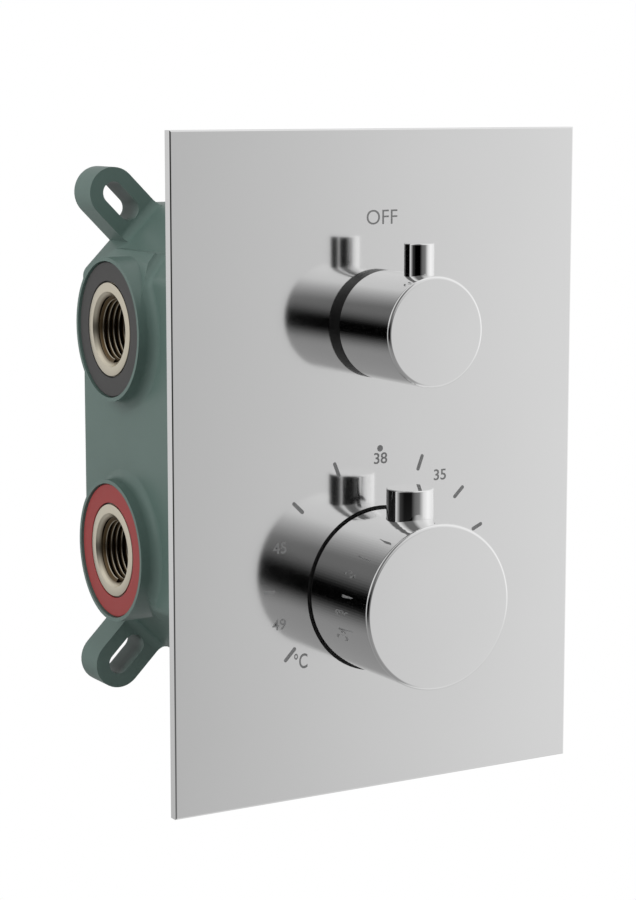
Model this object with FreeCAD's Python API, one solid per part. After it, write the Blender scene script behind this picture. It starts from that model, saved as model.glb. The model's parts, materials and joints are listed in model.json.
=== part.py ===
"""Concealed thermostatic shower valve with two outlets, in millimetres.

The origin is the middle of the housing's back, which seats on the wall.
+X is to the right, +Y goes into the wall and +Z is up, as seen from the front.
"""
import FreeCAD, Part
import math
import os

Vector = FreeCAD.Vector

# ---- driving sizes ----------------------------------------------------------

# Clearances
slip = 0.05                  # radial gap of turning, sliding and threaded fits
face_gap = 0.1               # gap between stacked faces that move past each other
seal_gap = 0.3               # gap between curved faces of different moving parts

# Face plate
plate_width = 140.0
plate_height = 200.0
plate_thickness = 3.0
plate_round = 0.5
plate_drop = 2.05            # plate's centre below the middle of the housing
front_to_wall = 102.0        # plate's front face to the back of the housing
collar_wall = 2.2            # rings behind the plate that slide over the sleeves
collar_depth = 12.0
gasket_width = 6.0
gasket_thickness = 3.0
gasket_inset = 3.0

# Housing
housing_width = 100.0
housing_depth = 74.0
housing_wall = 3.0
corner_cut = 21.6            # legs of the 45 degree corners
outer_round = 4.0            # rounding of the housing's long edges, outside and inside
inner_round = 2.0
lug_thickness = 12.0
lug_width = 16.4
lug_reach = 22.3             # corner face to the lug's rounded tip
lug_shift = 6.6              # lug's centre line from the middle of the corner face
lug_fillet = 2.9
slot_width = 7.2
slot_length = 14.7
pillar_radius = 4.5
pillar_height = 7.0
pillar_x = 29.0
pillar_z = 56.0

# Ports
port_spacing = 70.3          # outlet axis above inlet axis
port_setback = 30.0          # port axes in front of the housing's back
boss_radius = 22.6
boss_rise = 6.0              # boss rim proud of the housing's side
slope_start = 6.5            # web's sloping face leaves the boss rim this far from the port axis
slope_drop = 7.0             # rim's height above the end of the sloping face
outlet_web_reach = 21.4      # end of the sloping face from the port axis
inlet_web_reach = 17.5
web_bevel = 2.8
web_end_width = 28.0
web_overrun = 8.0            # straight web drawn past its end before the slope is cut
foot_round = 3.0             # rounding where boss and web grow out of the housing
ring_width = 6.25            # coloured ring, between the nipple and the boss rim
ring_recess = 0.7            # ring and nipple sit below the boss rim
ring_thickness = 5.3
ring_round = 0.3
wall_hole_radius = 16.5      # hole behind the ring for the nipple
nipple_radius = 15.1
thread_radius = 9.32         # minor radius of the G1/2 female thread
thread_length = 14.0
mouth_depth = 1.5
mouth_flare = 1.85
nipple_bore = 7.5
spigot_radius = 13.4

# Brass body
control_spacing = 80.3       # flow control axis above temperature control axis
temperature_tower_radius = 22.0
flow_tower_radius = 20.0
cross_tube_radius = 17.0
mixed_tube_radius = 9.0
mixed_channel_radius = 5.0
check_bore = 8.6
check_bore_end = 20.0        # inner end of the check valve's bore, from the middle
passage_radius = 4.5
body_floor = 3.9             # wall behind the deeper pocket
cored_ring_depth = 2.0       # ring channels cored round the cartridge's windows
cored_ring_width = 6.0
cold_way_radius = 3.2        # way along the tower to the cold ring channel
thin_wall = 0.5              # least brass left between neighbouring channels
channel_gap = 1.0            # cold way's rear end in front of the hot ring channel
cold_rib_radius = 6.0
foot_radius = 6.0
foot_thickness = 5.0
foot_hole_radius = 2.2

# Both cartridges
cartridge_radius = 15.0
flange_radius = 17.2
flange_thickness = 3.0
nut_thread_length = 7.8
nut_head_thickness = 6.0
nut_across_flats = 32.0
neck_radius = 10.9
neck_length = 22.0
spindle_radius = 4.5
spline_length = 14.0
spline_relief = 2.0          # plain shaft between the neck and the spline
spline_groove = 0.55
spline_count = 10
seal_section = 2.0           # square section of the cartridge seals

# Thermostatic cartridge
window_pitch = 13.0          # cold windows in front of the hot windows
window_width = 4.0
window_opening = 0.8         # what the shuttle leaves open at each edge at 38 degrees
window_count = 4
window_span = 9.0
cartridge_reach = 27.0       # hot windows behind the cartridge's flange
cartridge_length = 37.0
pocket_length = 48.5
cartridge_bore = 11.0
bore_start = 2.0
thrust_radius = 8.5
thrust_thickness = 2.5
thrust_setback = 1.0         # thrust flange's rear face in front of the bore
regulator_setback = 1.0      # regulator's front face behind the bore's start at 38 degrees
screw_radius = 5.0
screw_length = 9.0
regulator_length = 14.0
regulator_nose_radius = 8.6
regulator_guide_length = 6.5
key_width = 3.0              # keys in the barrel that keep the regulator from turning
key_height = 1.4
regulator_cavity = 7.5
regulator_cavity_depth = 6.5
cup_thickness = 1.5
clip_thickness = 0.9
overload_spring_wall = 1.6
piston_radius = 1.5
piston_length = 7.9
element_radius = 4.5
element_flange_radius = 6.2
element_length = 17.0
element_tail_radius = 3.4
element_flange_thickness = 1.0
element_body_length = 3.0    # full-radius body behind the shuttle's web
element_tip_bevel = 1.0
piston_clearance = 2.0       # wax space behind the piston
shuttle_wall = 1.3
shuttle_web = 2.5
shuttle_web_start = 21.0
shuttle_hole_count = 8
shuttle_hole_wall = 0.2
end_cap_thickness = 4.0
end_cap_bore = 5.1
end_cap_hole = 1.6
return_spring_mean = 7.9
return_spring_wire = 1.3

# Flow control cartridge
flow_pocket_length = 19.5
disc_radius = 12.4
disc_thickness = 3.5
carrier_thickness = 4.7
disc_port_radius = 2.3
disc_port_circle = 9.0
disc_port_angle = 75.0       # degrees each way from straight down
disc_inlet_radius = 3.5
disc_sector = 36.0           # half angle in degrees of the moving disc's way
disc_edge = 1.1
peg_radius = 1.2             # pegs that drive the moving disc and hold the fixed one
peg_length = 1.6
base_seal_section = 1.2
outlet_wall = 2.1            # wall between the inlet hole and each outlet channel

# Check valves and strainers
check_length = 9.0
check_setback = 0.7          # guide's inner face from the end of the check valve's bore
check_seat_radius = 4.5
poppet_radius = 5.6
poppet_thickness = 1.5
poppet_stem_radius = 1.5
poppet_guided = 1.2          # length of the closed poppet's stem in its guide
poppet_travel = 2.2
check_seat_thickness = 1.5
check_guide_thickness = 1.5
check_guide_wall = 1.5
check_sleeve_wall = 2.0
check_arm_width = 1.6
check_spring_radius = 3.6
check_spring_wall = 1.4
strainer_length = 4.5
strainer_wall = 0.8
strainer_hole = 1.1
strainer_circle = 4.1
strainer_count = 6

# Sleeves that carry the plate
flow_sleeve_radius = 23.0
temperature_sleeve_radius = 28.8
sleeve_wall = 3.0
sleeve_clearance = 1.05      # temperature sleeve from the housing's bottom wall
sleeve_grip = 10.0           # threaded length on the brass body
sleeve_seal_section = 1.6
sleeve_seal_depth = 9.0      # seal's place behind the plate's back
sleeve_step = 1.0            # temperature sleeve narrows in front of the tower's end

# Flow knob
flow_knob_radius = 16.25
flow_knob_length = 27.1
flow_knob_wall = 2.0
flow_hub_radius = 8.0
flow_pin_radius = 4.4
flow_pin_rise = 9.0
flow_pin_setback = 9.4       # pin's axis behind the knob's end face
flow_collar_radius = 16.2
flow_collar_depth = 3.0
flow_collar_bore = 11.5
flow_plate_hole = 14.6
collar_catch = 0.6           # snap ridge behind the plate
collar_tail = 1.5
flow_pin_stem = 3.0          # radius of the lever pin's threaded stem
flow_pin_floor = 6.5         # bottom of the pin's hole from the knob's axis
flow_pin_seat = 2.0          # head's corners reach this far below the knob's top

# Temperature knob
temperature_knob_radius = 24.7
temperature_knob_front = 32.8   # end face in front of the plate
temperature_knob_skirt = 8.0    # skirt behind the plate's front face
temperature_knob_wall = 2.2
temperature_hub_radius = 9.0
button_hub_gap = 0.5         # pressed button's stem clear of the knob's hub
temperature_plate_hole = 25.4
knob_seal_flange = 1.0       # thickness of the seal's flange behind the plate
knob_seal_inset = 0.75       # seal's lip behind the plate's front face
button_radius = 7.0
button_rise = 8.5
button_setback = 16.2        # button's axis behind the knob's end face
button_travel = 3.0
button_spring_wire = 1.2
button_stem_radius = 3.0
button_head_depth = 2.4      # head's underside below the knob's surface
button_guide_floor = 17.0    # guide tube's inner end, from the knob's axis
button_guide_wall = 1.6
stop_ring_wall = 2.0
stop_ring_radius = 14.5
stop_sector_inner = 11.0
stop_sector_outer = 15.8
stop_play = 1.0              # degrees between the stem and the sector at each limit
cold_limit = 66.0            # degrees, clockwise from the 38 degree mark
hot_limit = 118.0            # degrees, anticlockwise from the 38 degree mark

# Both knobs
knob_round = 0.6
pin_round = 0.4
nose_bevel = 0.6
knob_front_wall = 3.0
hub_end_gap = 5.0            # hub's open end in front of the plate
extension_radius = 7.0
extension_nose = 5.5
extension_nose_length = 14.0
grub_radius = 2.0
grub_setback = 4.5           # grub screw's axis inside the hub's open end

# Screws that hold the body in the housing
screw_shank_radius = 1.9
screw_head_radius = 3.8
screw_head_height = 3.0

# ---- places worked out from the sizes -----------------------------------------

plate_front_y = -front_to_wall
plate_back_y = plate_front_y + plate_thickness
port_y = -port_setback
inlet_z = -port_spacing / 2
outlet_z = port_spacing / 2
temperature_z = -control_spacing / 2
flow_z = control_spacing / 2
housing_height = control_spacing + 2 * (temperature_sleeve_radius + sleeve_clearance + housing_wall)
side_x = housing_width / 2
boss_x = side_x + boss_rise
boss_root_x = side_x - corner_cut - housing_wall
nipple_x = boss_x - ring_recess
thread_mouth_x = nipple_x - mouth_depth
shoulder_x = thread_mouth_x - thread_length - seal_gap
check_x = check_bore_end + check_setback + check_length
spigot_x = check_x + face_gap
pocket_y = port_y - cartridge_reach
tower_front_y = pocket_y - flange_thickness - nut_thread_length - 2 * face_gap
neck_front_y = pocket_y - flange_thickness - neck_length
nut_bore = neck_radius + 3 * slip
cold_windows_y = port_y - window_pitch
pocket_end_y = pocket_y + pocket_length
mixed_y = pocket_end_y - mixed_channel_radius - thin_wall
body_back_y = pocket_end_y + body_floor
foot_back_y = -housing_wall - pillar_height
ring_outer = nipple_radius + ring_width
pocket_radius = cartridge_radius + slip
cored_radius = pocket_radius + cored_ring_depth
cold_way_x = cored_radius + thin_wall + cold_way_radius
disc_port_x = disc_port_circle * math.sin(math.radians(disc_port_angle))
disc_port_z = flow_z - disc_port_circle * math.cos(math.radians(disc_port_angle))


# ---- shapes ---------------------------------------------------------------------

def rod_y(radius, start, end, x=0.0, z=0.0):
    """Round rod along Y."""
    return Part.makeCylinder(radius, end - start, Vector(x, start, z), Vector(0, 1, 0))


def rod_z(radius, start, end, x=0.0, y=0.0):
    """Round rod along Z."""
    return Part.makeCylinder(radius, end - start, Vector(x, y, start), Vector(0, 0, 1))


def rod_x(radius, near, far, side, y, z):
    """Round rod along X between two distances from the middle, on one side."""
    start = Vector(side * near, y, z)
    return Part.makeCylinder(radius, far - near, start, Vector(side, 0, 0))


def turned_y(outline, z):
    """Solid turned about a line along Y, from its outline as (y, radius) points."""
    points = [Vector(0, y, z + radius) for y, radius in outline]
    face = Part.Face(Part.makePolygon(points + points[:1]))
    return face.revolve(Vector(0, 0, z), Vector(0, 1, 0), 360)


def turned_x(outline, side, y, z):
    """Solid turned about a line along X, from its outline as (distance, radius) points."""
    points = [Vector(side * distance, y, z + radius) for distance, radius in outline]
    face = Part.Face(Part.makePolygon(points + points[:1]))
    return face.revolve(Vector(0, y, z), Vector(1, 0, 0), 360)


def prism_y(corners, start, end):
    """Straight prism along Y over a polygon of (x, z) corners."""
    points = [Vector(x, start, z) for x, z in corners]
    face = Part.Face(Part.makePolygon(points + points[:1]))
    return face.extrude(Vector(0, end - start, 0))


def seal_y(y, z, outer, section):
    """Square-cut seal about a line along Y, from its outer radius."""
    half = section / 2
    ring = rod_y(outer, y - half, y + half, 0, z)
    return ring.cut(rod_y(outer - section, y - half, y + half, 0, z))


def groove_y(y, z, outer, section):
    """Ring to cut round a rod along Y so that a square-cut seal sits in it."""
    half = section / 2 + face_gap
    ring = rod_y(outer + 1, y - half, y + half, 0, z)
    return ring.cut(rod_y(outer - section, y - half, y + half, 0, z))


def spring_tube_y(start, end, z, mean, wire):
    """Space that a coil spring fills: a tube between its inner and outer radius."""
    outer = rod_y(mean + wire / 2, start, end, 0, z)
    return outer.cut(rod_y(mean - wire / 2, start, end, 0, z))


def hexagon_y(across_flats, start, end, z):
    """Hexagonal prism along Y."""
    corner = across_flats / math.sqrt(3)
    angles = [math.radians(60 * step) for step in range(6)]
    return prism_y([(corner * math.cos(a), z + corner * math.sin(a)) for a in angles], start, end)


def around_y(shape, count, z, first=0.0):
    """Copies of a shape turned about a line along Y."""
    copies = []
    for step in range(count):
        copy = shape.copy()
        copy.rotate(Vector(0, 0, z), Vector(0, 1, 0), first + 360.0 * step / count)
        copies.append(copy)
    return copies


def octagon(margin, radius, start, end):
    """Prism along Y with the housing's outline, drawn in by a margin, with rounded long edges."""
    half_width = housing_width / 2 - margin
    half_height = housing_height / 2 - margin
    corner = corner_cut - margin * (2 - math.sqrt(2))
    quarter = [(half_width, half_height - corner), (half_width - corner, half_height)]
    corners = quarter + [(-x, z) for x, z in reversed(quarter)]
    corners += [(-x, -z) for x, z in corners]
    prism = prism_y(corners, start, end)
    long_edges = [edge for edge in prism.Edges if edge.BoundBox.YLength > (end - start) / 2]
    return prism.makeFillet(radius, long_edges)


def rims(shape, y, radius):
    """Round edges of a shape at a place along Y, of at least a radius."""
    level = [edge for edge in shape.Edges if abs(edge.CenterOfMass.y - y) < 1e-6]
    flat = [edge for edge in level if edge.BoundBox.YLength < 1e-3]
    return [edge for edge in flat if edge.BoundBox.XLength > 2 * radius - 1e-3]


def slot_shape(length, width, thickness, centre, along):
    """Block with round ends lying along a direction in the XZ plane, from y = -thickness to 0."""
    half = (length - width) / 2
    across = Vector(-along.z, 0, along.x)
    ends = [centre + along * half, centre - along * half]
    corners = []
    for end, turn in ((ends[0], 1), (ends[1], -1)):
        corners.append(end + across * (turn * width / 2))
        corners.append(end + along * (turn * width / 2))
        corners.append(end - across * (turn * width / 2))
    edges = [
        Part.Arc(corners[0], corners[1], corners[2]).toShape(),
        Part.LineSegment(corners[2], corners[3]).toShape(),
        Part.Arc(corners[3], corners[4], corners[5]).toShape(),
        Part.LineSegment(corners[5], corners[0]).toShape(),
    ]
    return Part.Face(Part.Wire(edges)).extrude(Vector(0, -thickness, 0))


# ---- housing ----------------------------------------------------------------------

def lug_line(side, level):
    """Foot of a lug on its corner face, the way the lug points and the way along the face."""
    out = Vector(side, 0, level).normalize()
    along = Vector(-side, 0, level).normalize()
    middle = Vector(side * (housing_width - corner_cut) / 2, 0, level * (housing_height - corner_cut) / 2)
    return middle + along * lug_shift, out


def lug_slot_centre(side, level):
    """Centre of a lug's slot: the slot's outer end is concentric with the lug's tip."""
    foot, out = lug_line(side, level)
    tip_centre = foot + out * (lug_reach - lug_width / 2)
    return tip_centre - out * ((slot_length - slot_width) / 2), out


def lug(side, level):
    """Fixing lug: a thick tab with a round tip, growing out of a corner face."""
    foot, out = lug_line(side, level)
    buried = housing_wall
    length = lug_reach + lug_width / 2 + buried
    centre = foot + out * (lug_reach - length / 2)
    return slot_shape(length, lug_width, lug_thickness, centre, out)


def lug_root(side, level):
    """Curved web in front of a lug, easing its front face into the corner face."""
    foot, out = lug_line(side, level)
    across = Vector(-out.z, 0, out.x)
    start = foot - out * housing_wall + across * (lug_width / 2)
    base = Vector(0, -lug_thickness, 0)
    top = base + Vector(0, -lug_fillet, 0)
    middle = foot + across * (lug_width / 2)
    corner = middle + base + out * lug_fillet
    bend = middle + base + (out * lug_fillet - Vector(0, lug_fillet, 0)) * (1 - math.sqrt(0.5))
    edges = [
        Part.LineSegment(start + base, corner).toShape(),
        Part.Arc(corner, bend, middle + top).toShape(),
        Part.LineSegment(middle + top, start + top).toShape(),
        Part.LineSegment(start + top, start + base).toShape(),
    ]
    return Part.Face(Part.Wire(edges)).extrude(across * -lug_width)


def tangent_point(radius, across, along):
    """Where a line from a point beyond a circle touches the circle."""
    angle = math.atan2(across, along) + math.acos(radius / math.hypot(across, along))
    return radius * math.sin(angle), radius * math.cos(angle)


def upright_boss(side, z, end):
    """Boss and web of the same height: the web's straight sides leave the boss smoothly."""
    level = math.copysign(1, z)
    half = web_end_width / 2
    across, along = tangent_point(boss_radius, half, end)
    far = end + web_overrun
    far_half = half - web_overrun * (across - half) / (end - along)
    plan = [(-across, along), (-far_half, far), (far_half, far), (across, along)]
    corners = [Vector(side * boss_root_x, port_y + y, z + level * rise) for y, rise in plan]
    web = Part.Face(Part.makePolygon(corners + corners[:1]))
    web = web.extrude(Vector(side * (boss_x - boss_root_x), 0, 0))
    return rod_x(boss_radius, boss_root_x, boss_x, side, port_y, z).fuse(web).removeSplitter()


def slope_block(side, z, reach, end):
    """Space that a boss and its web fill: full height at the boss, then sloping to the web's end."""
    level = math.copysign(1, z)
    margin = boss_radius + 2 * foot_round
    profile = [
        (boss_root_x, -margin),
        (boss_x, -margin),
        (boss_x, slope_start),
        (boss_x - slope_drop, reach),
        (boss_x - slope_drop - web_bevel, end),
        (boss_root_x, end),
    ]
    slope = [(side * x, z + level * rise) for x, rise in profile]
    return prism_y(slope, port_y - margin, port_y + margin)


def seam(first, second, joined):
    """Sloping and round edges of a joined shape where the outsides of its two parts meet."""
    edges = []
    for edge in joined.Edges:
        middle = Part.Vertex(edge.valueAt((edge.FirstParameter + edge.LastParameter) / 2))
        gaps = [part.Shells[0].distToShape(middle)[0] for part in (first, second)]
        if max(gaps) < 1e-4 and edge.BoundBox.ZLength > 0.01:
            edges.append(edge)
    return edges


def port_boss(housing, side, z):
    """Round boss with a web towards the corner, both with a soft foot on the housing."""
    reach = outlet_web_reach if z > 0 else inlet_web_reach
    end = reach + web_bevel
    boss = upright_boss(side, z, end)
    joined = housing.fuse(boss).removeSplitter()
    joined = joined.makeFillet(foot_round, seam(housing, boss, joined))
    sloped = joined.common(slope_block(side, z, reach, end))
    return sloped.fuse(rod_x(boss_radius, boss_root_x, boss_x, side, port_y, z))


def port_opening(side, z):
    """Stepped hole through a boss: a seat for the coloured ring, then a way for the nipple."""
    seat = rod_x(ring_outer + slip, nipple_x - ring_thickness, boss_x + 1, side, port_y, z)
    through = rod_x(wall_hole_radius, boss_root_x, boss_x, side, port_y, z)
    return seat.fuse(through)


def corners_of(width, height):
    """The four places at plus and minus width and height."""
    return [(side * width, level * height) for side in (-1, 1) for level in (-1, 1)]


def make_housing():
    """Open-fronted housing with its four lugs, port bosses and screw pillars."""
    shell = octagon(0, outer_round, -housing_depth, 0)
    sides = [(side, level) for side in (-1, 1) for level in (-1, 1)]
    lugs = [lug(side, level) for side, level in sides]
    roots = [lug_root(side, level) for side, level in sides]
    bosses = [port_boss(shell, side, z) for side in (-1, 1) for z in (inlet_z, outlet_z)]
    shell = shell.fuse(lugs + roots + bosses)
    shell = shell.cut(octagon(housing_wall, inner_round, -housing_depth, -housing_wall))
    pillars = []
    pilots = []
    for x, z in corners_of(pillar_x, pillar_z):
        pillars.append(rod_y(pillar_radius, foot_back_y, -housing_wall, x, z))
        pilots.append(rod_y(screw_shank_radius, foot_back_y, -housing_wall / 2, x, z))
    shell = shell.fuse(pillars)
    slots = []
    for side, level in sides:
        centre, out = lug_slot_centre(side, level)
        slots.append(slot_shape(slot_length, slot_width, lug_thickness, centre, out))
    openings = [port_opening(side, z) for side in (-1, 1) for z in (inlet_z, outlet_z)]
    return shell.cut(slots + pilots + openings).removeSplitter()


# ---- brass body -------------------------------------------------------------------

def foot_bar(level):
    """Bar with round ends that rests on two of the housing's pillars."""
    bar = slot_shape(2 * (pillar_x + foot_radius), 2 * foot_radius, foot_thickness,
                     Vector(0, foot_back_y, level * pillar_z), Vector(1, 0, 0))
    return bar


def make_body():
    """One casting: two towers, two cross tubes, the mixed water tube, a rib and feet."""
    mixed_top = max(flow_z + mixed_tube_radius + mixed_channel_radius, pillar_z)
    solids = [
        rod_y(temperature_tower_radius, tower_front_y, body_back_y, 0, temperature_z),
        rod_y(flow_tower_radius, tower_front_y, port_y + mixed_tube_radius, 0, flow_z),
        rod_x(cross_tube_radius, -shoulder_x, shoulder_x, 1, port_y, inlet_z),
        rod_x(cross_tube_radius, -shoulder_x, shoulder_x, 1, port_y, outlet_z),
        rod_z(mixed_tube_radius, temperature_z, mixed_top, 0, mixed_y),
        rod_y(cold_rib_radius, cold_windows_y - cold_rib_radius, port_y, cold_way_x, inlet_z),
        foot_bar(1),
        foot_bar(-1),
    ]
    body = solids[0].fuse(solids[1:])
    return body.cut(pocket_hollows() + inlet_hollows() + outlet_hollows()).removeSplitter()


def pocket_hollows():
    """Both cartridge pockets, the mixed water channel between them and the screw holes."""
    nut_bore_radius = flange_radius + slip
    floor_y = flow_floor_y()
    half = cored_ring_width / 2
    hollows = [
        rod_y(nut_bore_radius, tower_front_y, pocket_y, 0, temperature_z),
        rod_y(pocket_radius, pocket_y, pocket_end_y, 0, temperature_z),
        rod_y(nut_bore_radius, tower_front_y, pocket_y, 0, flow_z),
        rod_y(pocket_radius, pocket_y, floor_y, 0, flow_z),
        rod_y(cored_radius, port_y - half, port_y + half, 0, temperature_z),
        rod_y(cored_radius, cold_windows_y - half, cold_windows_y + half, 0, temperature_z),
        rod_z(mixed_channel_radius, temperature_z, flow_z + mixed_channel_radius, 0, mixed_y),
        rod_y(disc_inlet_radius, floor_y, mixed_y, 0, flow_z),
    ]
    for x, z in corners_of(pillar_x, pillar_z):
        hollows.append(rod_y(foot_hole_radius, foot_back_y - foot_thickness, foot_back_y, x, z))
    return hollows


def flow_floor_y():
    """Floor of the flow cartridge's pocket."""
    return pocket_y + flow_pocket_length


def port_sockets(z):
    """Sockets for two nipples and the bores behind them, on both sides at one level."""
    sockets = []
    for side in (-1, 1):
        sockets.append(rod_x(spigot_radius + slip, spigot_x - slip, shoulder_x, side, port_y, z))
        sockets.append(rod_x(check_bore, check_bore_end, spigot_x, side, port_y, z))
    return sockets


def inlet_hollows():
    """Inlet bores: the hot one runs straight in, the cold one turns forward in its rib."""
    hollows = port_sockets(inlet_z)
    recess_x = check_x - check_length + check_guide_thickness - poppet_guided - poppet_travel - seal_gap
    hollows.append(rod_x(passage_radius, cartridge_radius, check_bore_end, -1, port_y, inlet_z))
    hollows.append(rod_x(passage_radius, recess_x, check_bore_end, 1, port_y, inlet_z))
    way_end = port_y - cored_ring_width / 2 - channel_gap
    hollows.append(rod_y(cold_way_radius, cold_windows_y, way_end, cold_way_x, inlet_z))
    hollows.append(rod_x(cored_ring_width / 2 - slip, cartridge_radius, cold_way_x, 1,
                         cold_windows_y, inlet_z))
    return hollows


def outlet_hollows():
    """Outlet bores and the channels that join them to the two ports of the discs."""
    hollows = port_sockets(outlet_z)
    for side in (-1, 1):
        start = disc_inlet_radius + outlet_wall
        hollows.append(rod_x(mixed_channel_radius, start, check_bore_end, side, port_y, outlet_z))
        hollows.append(rod_y(disc_port_radius, flow_floor_y(), port_y, side * disc_port_x, disc_port_z))
    return hollows


def make_body_screws():
    """Four pan head screws through the feet into the pillars."""
    head_y = foot_back_y - foot_thickness
    solids = []
    for x, z in corners_of(pillar_x, pillar_z):
        head = rod_y(screw_head_radius, head_y - screw_head_height, head_y, x, z)
        shank = rod_y(screw_shank_radius - slip, head_y, -housing_wall, x, z)
        solids.append(head.fuse(shank).removeSplitter())
    return Part.makeCompound(solids)


# ---- ports --------------------------------------------------------------------------

def make_nipple(side, z):
    """Port nipple: a flared female thread in a round head, and a spigot for the body."""
    tip = spigot_radius
    outline = [
        (nipple_x, thread_radius + mouth_flare),
        (nipple_x, nipple_radius),
        (shoulder_x, nipple_radius),
        (shoulder_x, tip),
        (spigot_x, tip),
        (spigot_x, nipple_bore),
        (thread_mouth_x - thread_length, nipple_bore),
        (thread_mouth_x - thread_length, thread_radius),
        (thread_mouth_x, thread_radius),
    ]
    nipple = turned_x(outline, side, port_y, z)
    return nipple.cut(nipple_ring(side, z, tip + 1, face_gap))


def nipple_ring(side, z, outer, gap):
    """Ring round a nipple's spigot: its seal, or with a gap the groove for it."""
    centre = (shoulder_x + spigot_x) / 2
    half = seal_section / 2 + gap
    ring = rod_x(outer, centre - half, centre + half, side, port_y, z)
    return ring.cut(rod_x(spigot_radius - seal_section, centre - half, centre + half, side, port_y, z))


def make_nipple_seals():
    """Square-cut seals on the four nipples' spigots."""
    places = [(side, z) for side in (-1, 1) for z in (inlet_z, outlet_z)]
    return Part.makeCompound([nipple_ring(side, z, spigot_radius, 0) for side, z in places])


def make_marker_ring(side, z):
    """Flat rubber ring that marks a port and closes the gap round its nipple."""
    inner = nipple_radius + slip
    far = nipple_x
    near = nipple_x - ring_thickness
    ring = rod_x(ring_outer, near, far, side, port_y, z).cut(rod_x(inner, near, far, side, port_y, z))
    edges = [edge for edge in ring.Edges if abs(edge.BoundBox.XMin - side * far) < 1e-3
             and edge.BoundBox.XLength < 1e-3]
    return ring.makeFillet(ring_round, edges)


def make_check_housing(side):
    """Check valve's sleeve: a seat at the outer end and a three-legged stem guide."""
    outer = check_bore - slip
    inner = outer - check_sleeve_wall
    near = check_x - check_length
    seat_x = check_x - check_seat_thickness
    outline = [
        (near, inner),
        (near, outer),
        (check_x, outer),
        (check_x, check_seat_radius),
        (seat_x, check_seat_radius),
        (seat_x, inner),
    ]
    sleeve = turned_x(outline, side, port_y, inlet_z)
    hub = rod_x(poppet_stem_radius + check_guide_wall, near, near + check_guide_thickness,
                side, port_y, inlet_z)
    low_x = min(side * near, side * (near + check_guide_thickness))
    arm = Part.makeBox(check_guide_thickness, check_arm_width, (inner + outer) / 2,
                       Vector(low_x, port_y - check_arm_width / 2, inlet_z))
    arms = []
    for step in range(3):
        copy = arm.copy()
        copy.rotate(Vector(0, port_y, inlet_z), Vector(1, 0, 0), 120.0 * step)
        arms.append(copy)
    hole = rod_x(poppet_stem_radius + slip, near - 1, near + check_guide_thickness + 1, side, port_y, inlet_z)
    return sleeve.fuse([hub] + arms).cut(hole).removeSplitter()


def make_poppet(side):
    """Check valve's poppet: a bevelled disc on a guided stem."""
    front = check_x - check_seat_thickness - face_gap
    back = front - poppet_thickness
    end = check_x - check_length + check_guide_thickness - poppet_guided
    outline = [
        (end, 0),
        (end, poppet_stem_radius),
        (back, poppet_stem_radius),
        (back, poppet_radius),
        (front - poppet_thickness / 2, poppet_radius),
        (front, poppet_radius - poppet_thickness / 2),
        (front, 0),
    ]
    return turned_x(outline, side, port_y, inlet_z)


def make_check_spring(side):
    """Check valve's spring, between the poppet and the guide."""
    far = check_x - check_seat_thickness - 2 * face_gap - poppet_thickness
    near = check_x - check_length + check_guide_thickness + face_gap
    tube = rod_x(check_spring_radius, near, far, side, port_y, inlet_z)
    return tube.cut(rod_x(check_spring_radius - check_spring_wall, near, far, side, port_y, inlet_z))


def make_strainers():
    """Perforated cups in the two inlet nipples."""
    outer = nipple_bore - slip
    far = thread_mouth_x - thread_length - face_gap
    near = far - strainer_length
    solids = []
    for side in (-1, 1):
        outline = [
            (near, 0),
            (near, outer),
            (far, outer),
            (far, outer - strainer_wall),
            (near + strainer_wall, outer - strainer_wall),
            (near + strainer_wall, 0),
        ]
        cup = turned_x(outline, side, port_y, inlet_z)
        holes = [rod_x(strainer_hole, near - 1, near + 2, side, port_y, inlet_z)]
        for step in range(strainer_count):
            angle = 2 * math.pi * step / strainer_count
            y = port_y + strainer_circle * math.cos(angle)
            z = inlet_z + strainer_circle * math.sin(angle)
            holes.append(rod_x(strainer_hole, near - 1, near + 2, side, y, z))
        solids.append(cup.cut(holes))
    return Part.makeCompound(solids)


# ---- parts that both cartridges have --------------------------------------------------

def cartridge_nut(z):
    """Ring nut with a hexagonal head that holds a cartridge in its tower."""
    thread_end = pocket_y - flange_thickness - face_gap
    thread = rod_y(flange_radius, tower_front_y, thread_end, 0, z)
    head = hexagon_y(nut_across_flats, tower_front_y - nut_head_thickness, tower_front_y, z)
    head = head.common(rod_y(flange_radius, tower_front_y - nut_head_thickness, tower_front_y, 0, z))
    bore = rod_y(nut_bore, tower_front_y - nut_head_thickness, thread_end, 0, z)
    return thread.fuse(head).cut(bore).removeSplitter()


def spline(start, end, z):
    """Splined rod: a spindle's end with round grooves along it."""
    rod = rod_y(spindle_radius, start, end, 0, z)
    groove = rod_y(spline_groove, start - 1, end, spindle_radius, z)
    return rod.cut(around_y(groove, spline_count, z))


def extension(front, z):
    """Rod that carries a knob on its nose and takes the spindle's spline in its socket."""
    spline_end = neck_front_y - spline_relief
    socket_start = spline_end - spline_length
    nose_end = front + extension_nose_length
    outline = [
        (front, 0),
        (front, extension_nose - nose_bevel),
        (front + nose_bevel, extension_nose),
        (nose_end, extension_nose),
        (nose_end, extension_radius),
        (spline_end, extension_radius),
        (spline_end, spindle_radius + slip),
        (socket_start, spindle_radius + slip),
        (socket_start, 0),
    ]
    return turned_y(outline, z)


def grub_screw(knob_hub_radius, y, z):
    """Headless screw in a knob's hub, under the knob, bearing on the extension's nose."""
    top = z - extension_nose - slip
    screw = rod_z(grub_radius - slip, z - knob_hub_radius, top, 0, y)
    socket = rod_z(grub_radius / 2, z - knob_hub_radius, z - knob_hub_radius + grub_radius, 0, y)
    return screw.cut(socket)


# ---- thermostatic cartridge -------------------------------------------------------------

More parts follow.
